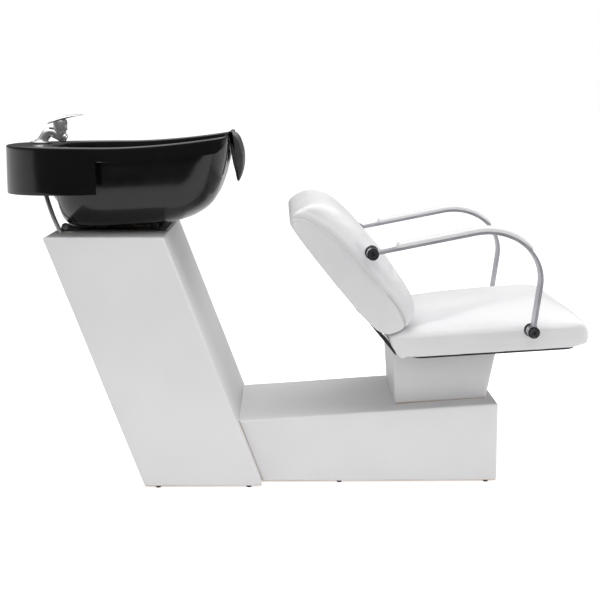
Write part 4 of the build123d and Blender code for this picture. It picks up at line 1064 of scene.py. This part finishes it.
REST_HALF, REST_EDGE = 90.0, 6.0
stations = []
for turn in np.linspace(0, pi / 2, 6):
    stations.append((REST_HALF - REST_EDGE * (1 - cos(turn)), REST_EDGE * (1 - sin(turn)) * 0.7))
stations += [(y, 0.0) for y in np.linspace(REST_HALF - REST_EDGE, REST_EDGE - REST_HALF, 46)[1:-1]]
stations += [(-y, d) for y, d in stations[:6][::-1]]
rest_rings = [[(x, y, z) for x, z in rest_profile(y, draw)] for y, draw in stations]
rest = add_piece("neck_saddle", *lofted(rest_rings), RUBBER_SOFT, "basin", "neck_rubber", ["neck_rest"])


# ---- tap ------------------------------------------------------------------------------
TAP_X, LEVER_X = -574.0, -528.0
neck = rounded_line([(TAP_X + 1, 752.5), (-555, 780), (-516.5, 762)], [14.0], step=1.5)
neck_path = np.array([(p[0], 0.0, p[1]) for p, _ in neck])
neck_run = np.linalg.norm(neck_path - neck_path[0], axis=1)
neck_left = np.linalg.norm(neck_path - neck_path[-1], axis=1)
neck_radii = 11.2 + 1.2 * np.exp(-neck_run / 5.0) - 1.6 * np.clip(1 - neck_left / 2.2, 0, 1) ** 2
neck_radii += 0.8 * np.exp(-((neck_left - 9) / 5.0) ** 2)
points, faces = lofted(tube_rings(neck_path, neck_radii, 48))


def lathe(profile, x, segments=56):
    """Points and faces of a form turned about an upright axis at x."""
    rings = [[(x + r * cos(a), r * sin(a), z)
              for a in full_turn(segments)] for r, z in profile]
    return lofted(rings)


foot = lathe([(16, 722), (16, 750.6), (23.2, 751.6), (24, 752.2), (24, 754), (23.4, 755), (22, 755.6),
              (16, 756.1), (13.5, 757.3), (12.6, 759.5)], TAP_X)
collar = lathe([(12.2, 765), (13, 767), (13.2, 779), (12.8, 781.5), (11.6, 783)], LEVER_X)
tap = add_piece("tap_casting", *joined((points, faces), foot, collar), CHROME, "basin", "tap_chrome", ["tap_body"])
crisp(tap, 40)

shroud = lathe([(12.6, 781.2), (14.6, 780.6), (15.8, 781.6), (16, 783.5), (16, 797), (15.7, 801),
                (14.6, 804), (11, 806.2)], LEVER_X)
BLADE_TOP = [(-557, 796.5), (-550, 801.5), (-540, 806.3), (-528, 810.3), (-515, 813.3), (-498, 815.8),
             (-477, 817.2)]
BLADE_THICK = [1.6, 4.5, 7.6, 8, 6.6, 4.4, 2.8]
BLADE_HALF = [12, 15.5, 16.8, 17, 16.6, 15.4, 13]
spans = np.linspace(0, 1, 46)
knots = np.linspace(0, 1, len(BLADE_TOP))
blade_top = spline_through(BLADE_TOP, len(spans))
blade_rings = []
for i, share in enumerate(spans):
    near_end = min(share, 1 - share) * 80.0
    taper = sqrt(max(0.0, 1 - (1 - min(near_end / 6.0, 1)) ** 2))
    thick = np.interp(share, knots, BLADE_THICK) * (0.35 + 0.65 * taper)
    half = np.interp(share, knots, BLADE_HALF) - 5.0 * (1 - taper)
    x, z = blade_top[i]
    ring = []
    for a in full_turn(40):
        y = half * signed_power(cos(a), 0.45)
        up = signed_power(sin(a), 0.75)
        ring.append((x, y, z - thick / 2 + thick / 2 * up - 1.1 * (y / half) ** 2))
    blade_rings.append(ring)
lever = add_piece("lever_handle", *joined(shroud, lofted(blade_rings)), CHROME, "lever", "tap_chrome",
                  ["tap_lever"])
crisp(lever, 45)

# machined and folded parts keep their CAD shape with broken edges
for node, width in (("arm_bar_left", 0.7), ("arm_bar_right", 0.7), ("arm_sleeves_left", 1.0),
                    ("arm_sleeves_right", 1.0), ("arm_bolts", 0.7), ("arm_spacers", 0.8), ("seat_pan", 0.8),
                    ("back_bracket_left", 0.7), ("back_bracket_right", 0.7), ("base_bracket", 0.5),
                    ("tilt_bracket", 0.5), ("access_panel", 1.2), ("hose_nuts", 0.6), ("waste_nut", 1.0),
                    ("bracket_screws", 0.8), ("seat_bolts", 0.6), ("hinge_pins", 0.4), ("stop_buffers", 1.0),
                    ("tap_nut", 0.6), ("feet", 0.6)):
    bevelled(nodes[node], width, 40).harden_normals = True


# ---- light and floor ------------------------------------------------------------------
world = bpy.data.worlds.new("studio")
scene.world = world
world.cycles.sampling_method = "NONE"
world.use_nodes = True
tree = world.node_tree
tree.nodes.clear()
paths = tree.nodes.new("ShaderNodeLightPath")
white = add_node(tree, "ShaderNodeBackground", {"Color": (1, 1, 1, 1)})
soft = add_node(tree, "ShaderNodeBackground", {"Color": (1, 1, 1, 1), "Strength": 0.5})
# reflections see a sky that is dark at the horizon and bright overhead
direction = tree.nodes.new("ShaderNodeTexCoord").outputs["Generated"]
split = add_node(tree, "ShaderNodeSeparateXYZ", {"Vector": direction})
height = add_node(tree, "ShaderNodeMath", {0: split.outputs["Z"], 1: 0.5, 2: 0.5})
height.operation = "MULTIPLY_ADD"
ramp = add_node(tree, "ShaderNodeValToRGB", {"Fac": height.outputs[0]})
stops = ramp.color_ramp.elements
stops[0].color = (0.05, 0.05, 0.05, 1)
stops[1].color = (3.4, 3.4, 3.4, 1)
for place, level in ((0.47, 0.07), (0.60, 0.16), (0.70, 0.35), (0.80, 1.2), (0.90, 3.4)):
    stops.new(place).color = (level, level, level, 1)
mirror = add_node(tree, "ShaderNodeBackground", {"Color": ramp.outputs["Color"]})
first = add_node(tree, "ShaderNodeMixShader", {0: paths.outputs["Is Glossy Ray"], 1: soft.outputs["Background"],
                                               2: mirror.outputs["Background"]})
last = add_node(tree, "ShaderNodeMixShader", {0: paths.outputs["Is Camera Ray"], 1: first.outputs["Shader"],
                                              2: white.outputs["Background"]})
add_node(tree, "ShaderNodeOutputWorld", {"Surface": last.outputs["Shader"]})


def softbox(name, place, aim, size, power):
    """A rectangular area light that no mirror shows."""
    light = bpy.data.lights.new(name, "AREA")
    light.shape = "RECTANGLE"
    light.size, light.size_y = size
    light.energy = power
    lamp = linked(name, light)
    lamp.location = place
    lamp.rotation_euler = (Vector(aim) - Vector(place)).to_track_quat("-Z", "Y").to_euler()
    lamp.visible_glossy = False
    lamp.visible_camera = False


softbox("overhead", (0.1, 0.1, 3.0), (0.0, 0.0, 0.4), (3.4, 2.8), 61)
softbox("front_fill", (-0.6, -3.4, 1.6), (0.0, 0.0, 0.4), (3.2, 2.2), 20)
softbox("chair_side", (3.0, -0.6, 1.4), (0.1, 0.0, 0.4), (2.0, 2.0), 27)

floor_mesh = bpy.data.meshes.new("floor")
FLOOR_REACH, FLOOR_NEAR = 60.0, -1.25
floor_mesh.from_pydata([(-FLOOR_REACH, FLOOR_NEAR, 0), (FLOOR_REACH, FLOOR_NEAR, 0),
                        (FLOOR_REACH, FLOOR_REACH, 0), (-FLOOR_REACH, FLOOR_REACH, 0)], [], [(0, 1, 2, 3)])
PAPER = surface("studio_paper", (0.84, 0.84, 0.84), (0.86, 0.86, 0.86), 2, (0.8, 0.9), specular=0.1)
paper_tree = PAPER.node_tree
seen = paper_tree.nodes.new("ShaderNodeLightPath")
glow = add_node(paper_tree, "ShaderNodeMath", {0: seen.outputs["Is Camera Ray"], 1: 0.45, 2: 0.2})
glow.operation = "MULTIPLY_ADD"
paper_shader = paper_tree.nodes["Principled BSDF"]
paper_shader.inputs["Emission Color"].default_value = (1, 1, 1, 1)
paper_tree.links.new(glow.outputs[0], paper_shader.inputs["Emission Strength"])
floor_mesh.materials.append(PAPER)
floor = linked("floor", floor_mesh)
